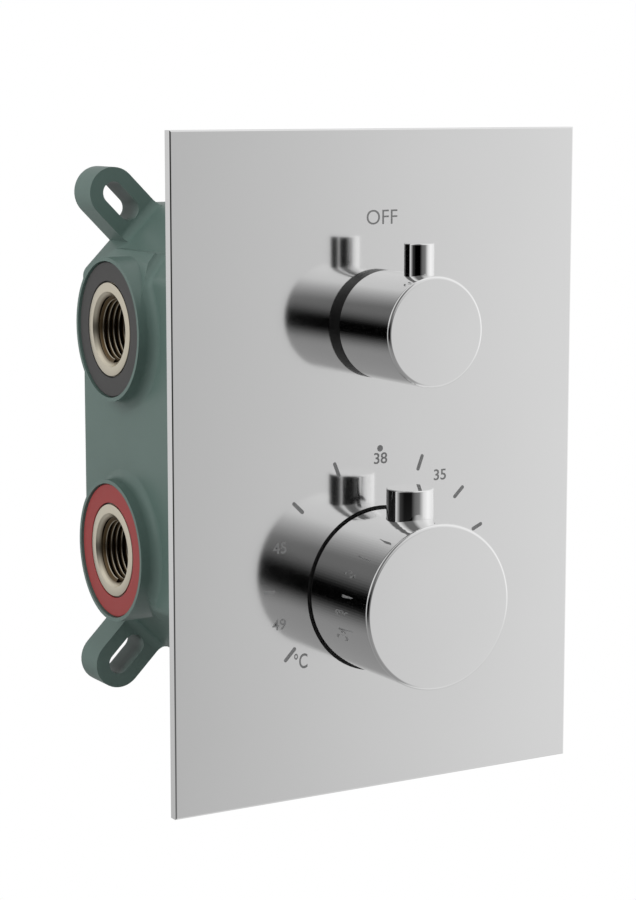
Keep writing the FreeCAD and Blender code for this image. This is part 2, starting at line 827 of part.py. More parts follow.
def windows(centre):
    """Openings through the cartridge's wall, spaced round it."""
    low = Vector(-window_span / 2, centre - window_width / 2, temperature_z + cartridge_bore / 2)
    block = Part.makeBox(window_span, window_width, cartridge_radius, low)
    return around_y(block, window_count, temperature_z, 45.0)


def seal_places():
    """Places along Y of the thermostatic cartridge's seals, on both sides of each set of windows."""
    return [port_y + window_pitch * step for step in (-1.5, -0.5, 0.5)]


def key(start, end, height, width, gap):
    """Bar on each side of the barrel's bore, or with a gap the slots for them."""
    bars = []
    for side in (-1, 1):
        inner = cartridge_bore - height - gap
        low = Vector(min(side * inner, side * (cartridge_bore + 1)), start, temperature_z - width / 2 - gap)
        bars.append(Part.makeBox(height + 1 + gap, end - start, width + 2 * gap, low))
    return bars


def make_temperature_cartridge():
    """Cartridge body: neck, flange, and a windowed barrel with seal grooves and two keys."""
    z = temperature_z
    flange_y = pocket_y - flange_thickness
    end = pocket_y + cartridge_length
    bore_y = pocket_y + bore_start
    thrust_y = thrust_start()
    outline = [
        (neck_front_y, spindle_radius + slip),
        (neck_front_y, neck_radius),
        (flange_y, neck_radius),
        (flange_y, flange_radius),
        (pocket_y, flange_radius),
        (pocket_y, cartridge_radius),
        (end, cartridge_radius),
        (end, cartridge_bore),
        (bore_y, cartridge_bore),
        (bore_y, thrust_radius + slip),
        (thrust_y - face_gap, thrust_radius + slip),
        (thrust_y - face_gap, spindle_radius + slip),
    ]
    key_end = regulator_start() + regulator_guide_length
    barrel = turned_y(outline, z).fuse(key(bore_y, key_end, key_height, key_width, 0))
    cuts = windows(port_y) + windows(cold_windows_y)
    cuts += [groove_y(y, z, cartridge_radius, seal_section) for y in seal_places()]
    return barrel.cut(cuts).removeSplitter()


def make_temperature_spindle():
    """Spindle: spline, shaft, thrust flange and the screw that feeds the regulator."""
    z = temperature_z
    spline_end = neck_front_y - spline_relief
    thrust_y = thrust_start()
    thrust_end = thrust_y + thrust_thickness
    parts = [
        rod_y(spindle_radius, spline_end, thrust_y, 0, z),
        rod_y(thrust_radius, thrust_y, thrust_end, 0, z),
        rod_y(screw_radius, thrust_end, thrust_end + screw_length, 0, z),
    ]
    return spline(spline_end - spline_length + face_gap, spline_end, z).fuse(parts).removeSplitter()


def thrust_start():
    """Front face of the spindle's thrust flange."""
    return pocket_y + bore_start - thrust_setback - thrust_thickness


def regulator_start():
    """Front face of the regulator at the 38 degree setting."""
    return pocket_y + bore_start + regulator_setback


def make_regulator():
    """Regulator: a keyed sleeve fed along by the spindle's screw, with a spring cavity."""
    start = regulator_start()
    end = start + regulator_length
    cavity = end - regulator_cavity_depth
    guide_end = start + regulator_guide_length
    outline = [
        (start, screw_radius + slip),
        (start, cartridge_bore - slip),
        (guide_end, cartridge_bore - slip),
        (guide_end, regulator_nose_radius),
        (end, regulator_nose_radius),
        (end, regulator_cavity),
        (cavity, regulator_cavity),
        (cavity, screw_radius + slip),
    ]
    sleeve = turned_y(outline, temperature_z)
    return sleeve.cut(key(start, guide_end, key_height, key_width, slip))


def cup_start():
    """Front face of the overload cup."""
    return regulator_start() + regulator_length - clip_thickness - face_gap - cup_thickness


def make_overload_cup():
    """Disc that passes the piston's thrust to the overload spring."""
    return rod_y(regulator_cavity - slip, cup_start(), cup_start() + cup_thickness, 0, temperature_z)


def make_overload_clip():
    """Ring that keeps the overload cup in the regulator."""
    end = regulator_start() + regulator_length
    ring = rod_y(regulator_cavity - slip, end - clip_thickness, end, 0, temperature_z)
    return ring.cut(rod_y(regulator_cavity - 2.0, end - clip_thickness, end, 0, temperature_z))


def make_overload_spring():
    """Spring between the regulator's screw end and the overload cup."""
    start = regulator_start() + regulator_length - regulator_cavity_depth + face_gap
    mean = regulator_cavity - slip - overload_spring_wall
    return spring_tube_y(start, cup_start() - face_gap, temperature_z, mean, overload_spring_wall)


def piston_start():
    """Front end of the wax element's piston, on the overload cup."""
    return cup_start() + cup_thickness + face_gap


def web_start():
    """Front face of the shuttle's web."""
    return pocket_y + shuttle_web_start


def make_wax_piston():
    """Piston that the wax pushes out as it melts."""
    return rod_y(piston_radius, piston_start(), piston_start() + piston_length, 0, temperature_z)


def make_wax_element():
    """Wax element: a flange on the shuttle's web, a body and a sensing tail."""
    web = web_start()
    flange = web - element_flange_thickness
    tail = web + shuttle_web + element_body_length
    wax_end = piston_start() + piston_length + piston_clearance
    end = flange + element_length
    outline = [
        (flange, piston_radius + slip),
        (flange, element_flange_radius),
        (web, element_flange_radius),
        (web, element_radius),
        (tail, element_radius),
        (tail, element_tail_radius),
        (end - element_tip_bevel, element_tail_radius),
        (end, element_tail_radius - element_tip_bevel),
        (end, 0),
        (wax_end, 0),
        (wax_end, piston_radius + slip),
    ]
    return turned_y(outline, temperature_z)


def make_shuttle():
    """Mixing shuttle: a thin sleeve between the cold and hot windows, on a holed web."""
    z = temperature_z
    start = cold_windows_y - window_width / 2 + window_opening
    end = port_y + window_width / 2 - window_opening
    outer = cartridge_bore - slip
    inner = outer - shuttle_wall
    web_end = web_start() + shuttle_web
    sleeve = rod_y(outer, start, end, 0, z).cut(rod_y(inner, start, end, 0, z))
    web = rod_y((inner + outer) / 2, web_start(), web_end, 0, z)
    web = web.cut(rod_y(element_radius + slip, web_start(), web_end, 0, z))
    hole_radius = (inner - element_flange_radius) / 2 - shuttle_hole_wall
    hole = rod_y(hole_radius, web_start(), web_end, (inner + element_flange_radius) / 2, z)
    return sleeve.fuse(web).cut(around_y(hole, shuttle_hole_count, z)).removeSplitter()


def make_end_cap():
    """Holed cap in the cartridge's end that carries the return spring."""
    z = temperature_z
    end = pocket_y + cartridge_length
    start = end - end_cap_thickness
    cap = rod_y(cartridge_bore - slip, start, end, 0, z)
    cap = cap.cut(rod_y(end_cap_bore, start, end, 0, z))
    hole = rod_y(end_cap_hole, start, end, return_spring_mean, z)
    return cap.cut(around_y(hole, shuttle_hole_count, z))


def make_return_spring():
    """Spring that pushes the shuttle back against the piston."""
    start = web_start() + shuttle_web + face_gap
    end = pocket_y + cartridge_length - end_cap_thickness - face_gap
    return spring_tube_y(start, end, temperature_z, return_spring_mean, return_spring_wire)


def make_temperature_seals():
    """Three square-cut seals on the thermostatic cartridge."""
    rings = [seal_y(y, temperature_z, cartridge_radius, seal_section) for y in seal_places()]
    return Part.makeCompound(rings)


# ---- flow control cartridge ---------------------------------------------------------------

def disc_stack():
    """Places along Y where the carrier, the two discs and the base start, and the base's end."""
    carrier = pocket_y + flange_thickness + 2 * face_gap
    moving = carrier + carrier_thickness + face_gap
    fixed = moving + disc_thickness + slip
    base = fixed + disc_thickness + slip
    return carrier, moving, fixed, base, pocket_y + flow_pocket_length - face_gap


def disc_ports(start, end):
    """The inlet and the two outlet holes through the fixed disc and the base."""
    ports = [rod_y(disc_inlet_radius, start, end, 0, flow_z)]
    for side in (-1, 1):
        ports.append(rod_y(disc_port_radius, start, end, side * disc_port_x, disc_port_z))
    return ports


def pegs(radius, start, end, circle):
    """Two pegs, or the holes for them, above a disc's centre and opposite each other."""
    reach = circle / math.sqrt(2)
    return [rod_y(radius, start, end, side * reach, flow_z + reach) for side in (-1, 1)]


def make_flow_cartridge():
    """Cartridge body: neck, flange and a barrel round the discs."""
    cavity = pocket_y + flange_thickness
    end = disc_stack()[3]
    outline = [
        (neck_front_y, spindle_radius + slip),
        (neck_front_y, neck_radius),
        (pocket_y - flange_thickness, neck_radius),
        (pocket_y - flange_thickness, flange_radius),
        (pocket_y, flange_radius),
        (pocket_y, cartridge_radius),
        (end, cartridge_radius),
        (end, disc_radius + 4 * slip),
        (cavity, disc_radius + 4 * slip),
        (cavity, spindle_radius + slip),
    ]
    return turned_y(outline, flow_z).cut(groove_y(flow_seal_y(), flow_z, cartridge_radius, seal_section))


def flow_seal_y():
    """Place along Y of the flow cartridge's seal."""
    return (pocket_y + disc_stack()[3]) / 2


def make_flow_seal():
    """Square-cut seal on the flow cartridge."""
    return seal_y(flow_seal_y(), flow_z, cartridge_radius, seal_section)


def make_flow_spindle():
    """Spindle: spline and shaft, with a flat tang in the disc carrier."""
    spline_end = neck_front_y - spline_relief
    carrier = disc_stack()[0]
    shaft = rod_y(spindle_radius, spline_end, carrier, 0, flow_z)
    tang = rod_y(spindle_radius, carrier, carrier + carrier_thickness / 2, 0, flow_z)
    tang = tang.common(Part.makeBox(spindle_radius, carrier_thickness, 2 * spindle_radius,
                                    Vector(-spindle_radius / 2, carrier, flow_z - spindle_radius)))
    splined = spline(spline_end - spline_length + face_gap, spline_end, flow_z)
    return splined.fuse([shaft, tang]).removeSplitter()


def make_disc_carrier():
    """Carrier that turns the moving disc: a slot for the tang and two drive pegs."""
    start = disc_stack()[0]
    end = start + carrier_thickness
    carrier = rod_y(disc_radius, start, end, 0, flow_z)
    low = Vector(-spindle_radius / 2 - slip, start, flow_z - spindle_radius - slip)
    slot = Part.makeBox(spindle_radius + 2 * slip, carrier_thickness / 2 + slip,
                        2 * spindle_radius + 2 * slip, low)
    return carrier.cut(slot).fuse(pegs(peg_radius, end, end + peg_length, disc_port_circle))


def make_moving_disc():
    """Moving ceramic disc: a blind sector-shaped way from the centre outwards."""
    start = disc_stack()[1]
    end = start + disc_thickness
    reach = disc_radius - disc_edge
    floor = end - disc_thickness / 2
    spread = reach * math.tan(math.radians(disc_sector))
    sector = prism_y([(0, flow_z), (-spread, flow_z - reach), (spread, flow_z - reach)], floor, end)
    sector = sector.common(rod_y(reach, floor, end, 0, flow_z))
    holes = pegs(peg_radius + slip, start, start + peg_length, disc_port_circle)
    centre = rod_y(disc_inlet_radius, floor, end, 0, flow_z)
    return rod_y(disc_radius, start, end, 0, flow_z).cut([sector, centre] + holes)


def make_fixed_disc():
    """Fixed ceramic disc with the inlet and outlet holes and two holes for the base's pegs."""
    start = disc_stack()[2]
    end = start + disc_thickness
    holes = pegs(peg_radius + slip, end - peg_length, end, disc_port_circle)
    return rod_y(disc_radius + 2 * slip, start, end, 0, flow_z).cut(disc_ports(start, end) + holes)


def make_disc_base():
    """Base that closes the flow cartridge, holds the fixed disc and carries the port seals."""
    start = disc_stack()[3] + slip
    end = disc_stack()[4]
    base = rod_y(cartridge_radius - slip, start, end, 0, flow_z)
    base = base.fuse(pegs(peg_radius, start - peg_length, start, disc_port_circle))
    grooves = [base_seal(x, z, radius, 0) for x, z, radius in base_seal_places()]
    return base.cut(disc_ports(start, end) + grooves)


def base_seal_places():
    """Centre and hole radius of the three seals under the base."""
    ports = [(side * disc_port_x, disc_port_z, disc_port_radius) for side in (-1, 1)]
    return [(0, flow_z, disc_inlet_radius)] + ports


def base_seal(x, z, radius, gap):
    """Square-cut seal round a port of the base, a gap smaller than its groove."""
    end = disc_stack()[4]
    start = end - base_seal_section
    ring = rod_y(radius + base_seal_section - gap, start, end, x, z)
    return ring.cut(rod_y(radius, start, end, x, z))


def make_base_seals():
    """Seals between the base and the pocket's floor."""
    return Part.makeCompound([base_seal(x, z, radius, slip) for x, z, radius in base_seal_places()])


# ---- sleeves and face plate -----------------------------------------------------------------

def make_flow_sleeve():
    """Sleeve screwed on the flow tower, which carries the plate's upper collar."""
    front = plate_back_y + 2 * gasket_thickness
    end = tower_front_y + sleeve_grip
    sleeve = rod_y(flow_sleeve_radius, front, end, 0, flow_z)
    sleeve = sleeve.cut(rod_y(flow_tower_radius + slip, front, end, 0, flow_z))
    return sleeve.cut(groove_y(sleeve_seal_y(), flow_z, flow_sleeve_radius, sleeve_seal_section))


def make_temperature_sleeve():
    """Stepped sleeve screwed on the temperature tower, clear of the knob's skirt."""
    front = plate_back_y + knob_seal_flange + face_gap
    step = tower_front_y - sleeve_step
    end = tower_front_y + sleeve_grip
    inner = temperature_sleeve_radius - sleeve_wall
    outline = [
        (front, inner),
        (front, temperature_sleeve_radius),
        (step, temperature_sleeve_radius),
        (end, temperature_tower_radius + sleeve_wall),
        (end, temperature_tower_radius + slip),
        (step, temperature_tower_radius + slip),
        (step - sleeve_wall, inner),
    ]
    groove = groove_y(sleeve_seal_y(), temperature_z, temperature_sleeve_radius, sleeve_seal_section)
    return turned_y(outline, temperature_z).cut(groove)


def sleeve_seal_y():
    """Place along Y of the seals between the sleeves and the plate's collars."""
    return plate_back_y + sleeve_seal_depth


def make_sleeve_seals():
    """Square-cut seals on the two sleeves."""
    places = ((flow_sleeve_radius, flow_z), (temperature_sleeve_radius, temperature_z))
    rings = [seal_y(sleeve_seal_y(), z, radius, sleeve_seal_section) for radius, z in places]
    return Part.makeCompound(rings)


def make_face_plate():
    """Flat plate with rounded front edges, two control holes and a collar behind each hole."""
    low = Vector(-plate_width / 2, plate_front_y, -plate_drop - plate_height / 2)
    plate = Part.makeBox(plate_width, plate_thickness, plate_height, low)
    front_edges = [edge for edge in plate.Edges if abs(edge.BoundBox.YMax - plate_front_y) < 1e-6]
    plate = plate.makeFillet(plate_round, front_edges)
    end = plate_back_y + collar_depth
    for radius, z in ((flow_sleeve_radius, flow_z), (temperature_sleeve_radius, temperature_z)):
        collar = rod_y(radius + slip + collar_wall, plate_back_y, end, 0, z)
        plate = plate.fuse(collar.cut(rod_y(radius + slip, plate_back_y, end, 0, z)))
    plate = plate.cut(rod_y(flow_plate_hole, plate_front_y - 1, plate_back_y, 0, flow_z))
    return plate.cut(rod_y(temperature_plate_hole, plate_front_y - 1, plate_back_y, 0, temperature_z))


def make_plate_gasket():
    """Foam frame behind the plate's edge."""
    centre = -plate_drop
    end = plate_back_y + gasket_thickness
    frames = []
    for margin in (gasket_inset, gasket_inset + gasket_width):
        half_width = plate_width / 2 - margin
        half_height = plate_height / 2 - margin
        corners = [(half_width, centre + half_height), (-half_width, centre + half_height),
                   (-half_width, centre - half_height), (half_width, centre - half_height)]
        frames.append(prism_y(corners, plate_back_y, end))
    return frames[0].cut(frames[1])


def make_flow_collar():
    """Black ring between the flow knob and the plate, with a spigot through the plate."""
    front = plate_front_y - flow_collar_depth
    spigot = flow_plate_hole - slip
    outline = [
        (front, flow_collar_bore),
        (front, flow_collar_radius),
        (plate_front_y, flow_collar_radius),
        (plate_front_y, spigot),
        (plate_back_y, spigot),
        (plate_back_y + face_gap, spigot + collar_catch),
        (plate_back_y + collar_tail, spigot),
        (plate_back_y + collar_tail, flow_collar_bore),
    ]
    return turned_y(outline, flow_z)


def make_knob_seal():
    """Rubber ring in the plate's lower hole, with a lip beside the temperature knob."""
    inner = temperature_knob_radius + slip
    lip = temperature_plate_hole - slip
    flange = temperature_sleeve_radius - slip
    outline = [
        (plate_front_y + knob_seal_inset, inner),
        (plate_front_y + knob_seal_inset, lip),
        (plate_back_y, lip),
        (plate_back_y, flange),
        (plate_back_y + knob_seal_flange, flange),
        (plate_back_y + knob_seal_flange, inner),
    ]
    return turned_y(outline, temperature_z)


# ---- knobs ------------------------------------------------------------------------------------

def knob_outline(front, back, radius, wall, hub_radius, hub_end, nose_start):
    """Outline of a hollow knob with an end wall, a skirt and a bored hub."""
    inside = front + knob_front_wall
    return [
        (front, 0),
        (front, radius),
        (back, radius),
        (back, radius - wall),
        (inside, radius - wall),
        (inside, hub_radius),
        (hub_end, hub_radius),
        (hub_end, extension_nose + slip),
        (nose_start, extension_nose + slip),
        (nose_start, 0),
    ]


def flow_knob_front():
    """End face of the flow knob."""
    return plate_front_y - flow_collar_depth - flow_knob_length - face_gap


def hub_end_y():
    """Open end of both knobs' hubs."""
    return plate_front_y - flow_collar_depth - hub_end_gap


def nose_start_y():
    """Front end of both extensions' noses."""
    return hub_end_y() - extension_nose_length


def make_flow_knob():
    """Flow knob with holes for its lever pin and its grub screw."""
    front = flow_knob_front()
    back = plate_front_y - flow_collar_depth - face_gap
    outline = knob_outline(front, back, flow_knob_radius, flow_knob_wall, flow_hub_radius,
                           hub_end_y(), nose_start_y())
    knob = turned_y(outline, flow_z)
    knob = knob.makeFillet(knob_round, rims(knob, front, flow_knob_radius))
    pin_y = front + flow_pin_setback
    pin_hole = rod_z(flow_pin_stem + slip, flow_z + flow_pin_floor, flow_z + flow_knob_radius + 1, 0, pin_y)
    return knob.cut([pin_hole, grub_hole(flow_knob_radius, flow_z)])


def grub_hole(radius, z):
    """Hole from under a knob through its skirt and hub for the grub screw."""
    y = hub_end_y() - grub_setback
    return rod_z(grub_radius, z - radius - 1, z - extension_nose, 0, y)


def make_flow_pin():
    """Lever pin: a round head seated on the knob, and a stem screwed into the hub."""
    y = flow_knob_front() + flow_pin_setback
    top = flow_z + flow_knob_radius + flow_pin_rise
    head = rod_z(flow_pin_radius, flow_z + flow_knob_radius - flow_pin_seat, top, 0, y)
    rim = [edge for edge in head.Edges if abs(edge.BoundBox.ZMin - top) < 1e-6]
    head = head.makeFillet(pin_round, rim)
    head = head.cut(rod_y(flow_knob_radius, y - 2 * flow_pin_radius, y + 2 * flow_pin_radius, 0, flow_z))
    stem = rod_z(flow_pin_stem, flow_z + flow_pin_floor + face_gap, top - 1, 0, y)
    return head.fuse(stem).removeSplitter()


def temperature_knob_face():
    """End face of the temperature knob."""
    return plate_front_y - temperature_knob_front


def button_y():
    """Axis of the override button along Y."""
    return temperature_knob_face() + button_setback


def make_temperature_knob():
    """Temperature knob with a guide tube for the override button."""
    front = temperature_knob_face()
    back = plate_front_y + temperature_knob_skirt
    outline = knob_outline(front, back, temperature_knob_radius, temperature_knob_wall,
                           temperature_hub_radius, hub_end_y(), nose_start_y())
    knob = turned_y(outline, temperature_z)
    knob = knob.makeFillet(knob_round, rims(knob, front, temperature_knob_radius))
    surface = temperature_z + temperature_knob_radius
    guide_outer = button_radius + slip + button_guide_wall
    floor = temperature_z + button_guide_floor
    guide = rod_z(guide_outer, floor, surface - temperature_knob_wall / 2, 0, button_y())
    middle_radius = temperature_knob_radius - temperature_knob_wall / 2
    guide = guide.common(rod_y(middle_radius, front, back, 0, temperature_z))
    bore = rod_z(button_radius + slip, floor + button_guide_wall, surface + 1, 0, button_y())
    stem_hole = rod_z(button_stem_radius + slip, floor - 1, floor + button_guide_wall, 0, button_y())
    knob = knob.fuse(guide)
    return knob.cut([bore, stem_hole, grub_hole(temperature_knob_radius, temperature_z)]).removeSplitter()


def make_override_button():
    """Override button: a round head and a stem that reaches the stop ring."""
    surface = temperature_z + temperature_knob_radius
    top = surface + button_rise
    head = rod_z(button_radius, surface - button_head_depth, top, 0, button_y())
    rim = [edge for edge in head.Edges if abs(edge.BoundBox.ZMin - top) < 1e-6]
    head = head.makeFillet(pin_round, rim)
    tip = temperature_z + temperature_hub_radius + button_hub_gap + button_travel
    stem = rod_z(button_stem_radius, tip, surface - button_head_depth, 0, button_y())
    return head.fuse(stem).removeSplitter()


def make_button_spring():
    """Spring under the override button's head."""
    start = temperature_z + button_guide_floor + button_guide_wall + face_gap
    end = temperature_z + temperature_knob_radius - button_head_depth - face_gap
    inner = button_stem_radius + seal_gap
    tube = rod_z(inner + button_spring_wire, start, end, 0, button_y())
    return tube.cut(rod_z(inner, start, end, 0, button_y()))


def make_stop_ring():
    """Fixed tube on the cartridge's neck whose front sector ends the button stem's travel."""
    z = temperature_z
    nut_front = tower_front_y - nut_head_thickness
    tube_front = button_y() + button_stem_radius + 2 * seal_gap
    sector_front = button_y() - button_stem_radius - seal_gap
    outer = stop_ring_radius
    outline = [
        (tube_front, outer - stop_ring_wall),
        (tube_front, outer),
        (nut_front - face_gap, outer),
        (nut_front - face_gap, neck_radius + slip),
        (neck_front_y, neck_radius + slip),
        (neck_front_y, outer - stop_ring_wall),
    ]
    tube = turned_y(outline, z)
    stem_angle = math.degrees(math.asin(button_stem_radius / stop_sector_inner))
    start = cold_limit + stem_angle + stop_play
    sweep = 360.0 - hot_limit - stem_angle - stop_play - start
    points = [Vector(0, y, z + radius) for y, radius in (
        (sector_front, stop_sector_inner), (sector_front, stop_sector_outer),
        (tube_front, stop_sector_outer), (tube_front, stop_sector_inner))]
    sector = Part.Face(Part.makePolygon(points + points[:1]))
    sector = sector.revolve(Vector(0, 0, z), Vector(0, 1, 0), sweep)
    sector.rotate(Vector(0, 0, z), Vector(0, 1, 0), start)
    return tube.fuse(sector).removeSplitter()


# ---- all pieces --------------------------------------------------------------------------------

def all_pieces():
    """Every node's name and shape."""
    grub_y = hub_end_y() - grub_setback
    return {
        "housing_box": make_housing(),
        "valve_body": make_body(),
        "body_screws": make_body_screws(),
        "hot_port_nipple": make_nipple(-1, inlet_z),
        "cold_port_nipple": make_nipple(1, inlet_z),
        "left_outlet_nipple": make_nipple(-1, outlet_z),
        "right_outlet_nipple": make_nipple(1, outlet_z),
        "nipple_seals": make_nipple_seals(),
        "hot_marker_ring": make_marker_ring(-1, inlet_z),
        "cold_marker_ring": make_marker_ring(1, inlet_z),
        "left_outlet_ring": make_marker_ring(-1, outlet_z),
        "right_outlet_ring": make_marker_ring(1, outlet_z),
        "hot_check_housing": make_check_housing(-1),
        "cold_check_housing": make_check_housing(1),
        "hot_check_poppet": make_poppet(-1),
        "cold_check_poppet": make_poppet(1),
        "hot_check_spring": make_check_spring(-1),
        "cold_check_spring": make_check_spring(1),
        "inlet_strainers": make_strainers(),
        "temperature_cartridge": make_temperature_cartridge(),
        "temperature_cartridge_nut": cartridge_nut(temperature_z),
        "temperature_cartridge_seals": make_temperature_seals(),
        "temperature_spindle": make_temperature_spindle(),
        "regulator_sleeve": make_regulator(),
        "overload_spring": make_overload_spring(),
        "overload_cup": make_overload_cup(),
        "overload_clip": make_overload_clip(),
        "wax_piston": make_wax_piston(),
        "wax_element": make_wax_element(),
        "mixing_shuttle": make_shuttle(),
        "return_spring": make_return_spring(),
        "cartridge_end_cap": make_end_cap(),
        "flow_cartridge": make_flow_cartridge(),
        "flow_cartridge_nut": cartridge_nut(flow_z),
        "flow_cartridge_seal": make_flow_seal(),
        "flow_spindle": make_flow_spindle(),
        "disc_carrier": make_disc_carrier(),
        "moving_disc": make_moving_disc(),
        "fixed_disc": make_fixed_disc(),
        "disc_base": make_disc_base(),
        "base_seals": make_base_seals(),
        "flow_sleeve": make_flow_sleeve(),
        "temperature_sleeve": make_temperature_sleeve(),
        "sleeve_seals": make_sleeve_seals(),
        "face_plate": make_face_plate(),
        "plate_gasket": make_plate_gasket(),
        "flow_collar": make_flow_collar(),
        "knob_seal": make_knob_seal(),
        "flow_knob": make_flow_knob(),
        "flow_pin": make_flow_pin(),
        "flow_extension": extension(nose_start_y() + face_gap, flow_z),
        "flow_grub_screw": grub_screw(flow_hub_radius, grub_y, flow_z),
        "temperature_knob": make_temperature_knob(),
        "override_button": make_override_button(),
        "button_spring": make_button_spring(),
        "temperature_extension": extension(nose_start_y() + face_gap, temperature_z),
        "temperature_grub_screw": grub_screw(temperature_hub_radius, grub_y, temperature_z),
        "temperature_stop_ring": make_stop_ring(),
    }


os.makedirs("parts", exist_ok=True)
for name, shape in all_pieces().items():
    shape.exportStep(os.path.join("parts", name + ".step"))
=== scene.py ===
"""Looks of the concealed thermostatic shower valve, built round its fixed frame."""
import json
import logging
import math
from dataclasses import dataclass, field
from enum import Enum

import bpy
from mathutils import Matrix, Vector


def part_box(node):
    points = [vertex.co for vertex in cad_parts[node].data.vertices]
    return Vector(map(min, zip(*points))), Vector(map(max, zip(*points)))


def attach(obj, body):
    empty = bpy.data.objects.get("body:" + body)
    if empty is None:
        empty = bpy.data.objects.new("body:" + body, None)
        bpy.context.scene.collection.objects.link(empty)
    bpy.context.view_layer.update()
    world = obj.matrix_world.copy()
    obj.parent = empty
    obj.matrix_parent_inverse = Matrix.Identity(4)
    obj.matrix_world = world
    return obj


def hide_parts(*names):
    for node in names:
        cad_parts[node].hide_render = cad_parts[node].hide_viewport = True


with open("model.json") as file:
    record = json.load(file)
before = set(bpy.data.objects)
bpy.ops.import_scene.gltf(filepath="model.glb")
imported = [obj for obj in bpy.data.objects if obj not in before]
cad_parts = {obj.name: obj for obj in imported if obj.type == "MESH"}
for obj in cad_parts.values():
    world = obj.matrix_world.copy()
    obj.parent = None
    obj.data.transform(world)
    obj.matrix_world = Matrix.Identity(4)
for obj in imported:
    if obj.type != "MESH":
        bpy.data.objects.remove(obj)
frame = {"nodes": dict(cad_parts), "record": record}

logging.basicConfig(level=logging.INFO, format="%(message)s")
LOG = logging.getLogger("shower_valve")

MM = 0.001
TURN = 2 * math.pi
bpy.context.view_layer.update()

# Points closer than this are one, in millimetres.
WELD = 0.001
ROD_SIDES = 64
# Share of an edge's width by which its middle point stands in from the corner.
CORNER = 0.3
# Places that the marks and the replaced pieces share, in millimetres.
PLATE_FRONT = -102.0
PLATE_DROP = 2.05
PORT_Y = -30.0
INLET_Z = -35.15
OUTLET_Z = 35.15


class Relief(Enum):
    """Kinds of fine surface that the finishes share."""

    POLISHED = "polished_haze"
    MOULDED = "moulded_grain"
    TURNED = "turned_lines"
    CAST = "cast_skin"
    RUBBER = "rubber_bloom"
    FOAM = "foam_cells"
    FIRED = "fired_ceramic"


class Axis(Enum):
    """Directions that a spring can lie along."""

    X = "X"
    Y = "Y"
    Z = "Z"


# ---- node trees ---------------------------------------------------------------


class NodeDesk:
    """Adds and joins the nodes of one node tree."""

    def __init__(self, tree: bpy.types.NodeTree) -> None:
        """Takes the tree to work on.

        Args:
            tree: The node tree, emptied first.
        """
        self.tree = tree
        tree.nodes.clear()

    def add(self, kind: str, inputs: dict | None = None, **settings) -> bpy.types.Node:
        """Adds one node.

        Args:
            kind: Blender's name for the node type.
            inputs: Socket names or numbers with their values.
            settings: Properties of the node itself.

        Returns:
            The new node.
        """
        node = self.tree.nodes.new(kind)
        for name, value in settings.items():
            setattr(node, name, value)
        for key, value in (inputs or {}).items():
            if isinstance(value, bpy.types.NodeSocket):
                self.tree.links.new(value, node.inputs[key])
            else:
                node.inputs[key].default_value = value
        return node

    def maths(self, operation: str, first, second=0.0, third=0.0) -> bpy.types.NodeSocket:
        """Adds a Math node.

        Args:
            operation: Name of the operation.
            first: First value or socket.
            second: Second value or socket.
            third: Third value or socket.

        Returns:
            The node's output.
        """
        return self.add("ShaderNodeMath", {0: first, 1: second, 2: third}, operation=operation).outputs[0]

    def times(self, first, second) -> bpy.types.NodeSocket:
        """Multiplies two values or sockets."""
        return self.maths("MULTIPLY", first, second)

    def noise(self, vector, scale, detail: float = 3.0, rough: float = 0.5) -> bpy.types.NodeSocket:
        """Adds a Noise Texture.

        Args:
            vector: Socket with the place.
            scale: Scale value or socket.
            detail: Octaves of the noise.
            rough: Share of each finer octave.

        Returns:
            The noise value's socket.
        """
        inputs = {"Vector": vector, "Scale": scale, "Detail": detail, "Roughness": rough}
        return self.add("ShaderNodeTexNoise", inputs).outputs[0]

    def cells(self, vector, scale) -> bpy.types.NodeSocket:
        """Adds a Voronoi Texture and gives the distance from its cells' middles."""
        return self.add("ShaderNodeTexVoronoi", {"Vector": vector, "Scale": scale}).outputs[0]

    def blend(self, factor, first, second) -> bpy.types.NodeSocket:
        """Mixes two colours.

        Args:
            factor: Share of the second colour.
            first: First colour or socket.
            second: Second colour or socket.

        Returns:
            The mixed colour's socket.
        """
        node = self.add("ShaderNodeMix", data_type="RGBA")
        for key, value in ((0, factor), (6, first), (7, second)):
            if isinstance(value, bpy.types.NodeSocket):
                self.tree.links.new(value, node.inputs[key])
            else:
                node.inputs[key].default_value = value
        return node.outputs[2]

    def span(self, value, low, high, start: float = 0.0, end: float = 1.0) -> bpy.types.NodeSocket:
        """Maps one range onto another and holds the result within it.

        Args:
            value: Socket with the value.
            low: Result, or its socket, at the start.
            high: Result, or its socket, at the end.
            start: Value that gives the low result.
            end: Value that gives the high result.

        Returns:
            The mapped value's socket.
        """
        node = self.add("ShaderNodeMapRange", {"Value": value, "From Min": start, "From Max": end,
                                               "To Min": low, "To Max": high})
        return node.outputs[0]


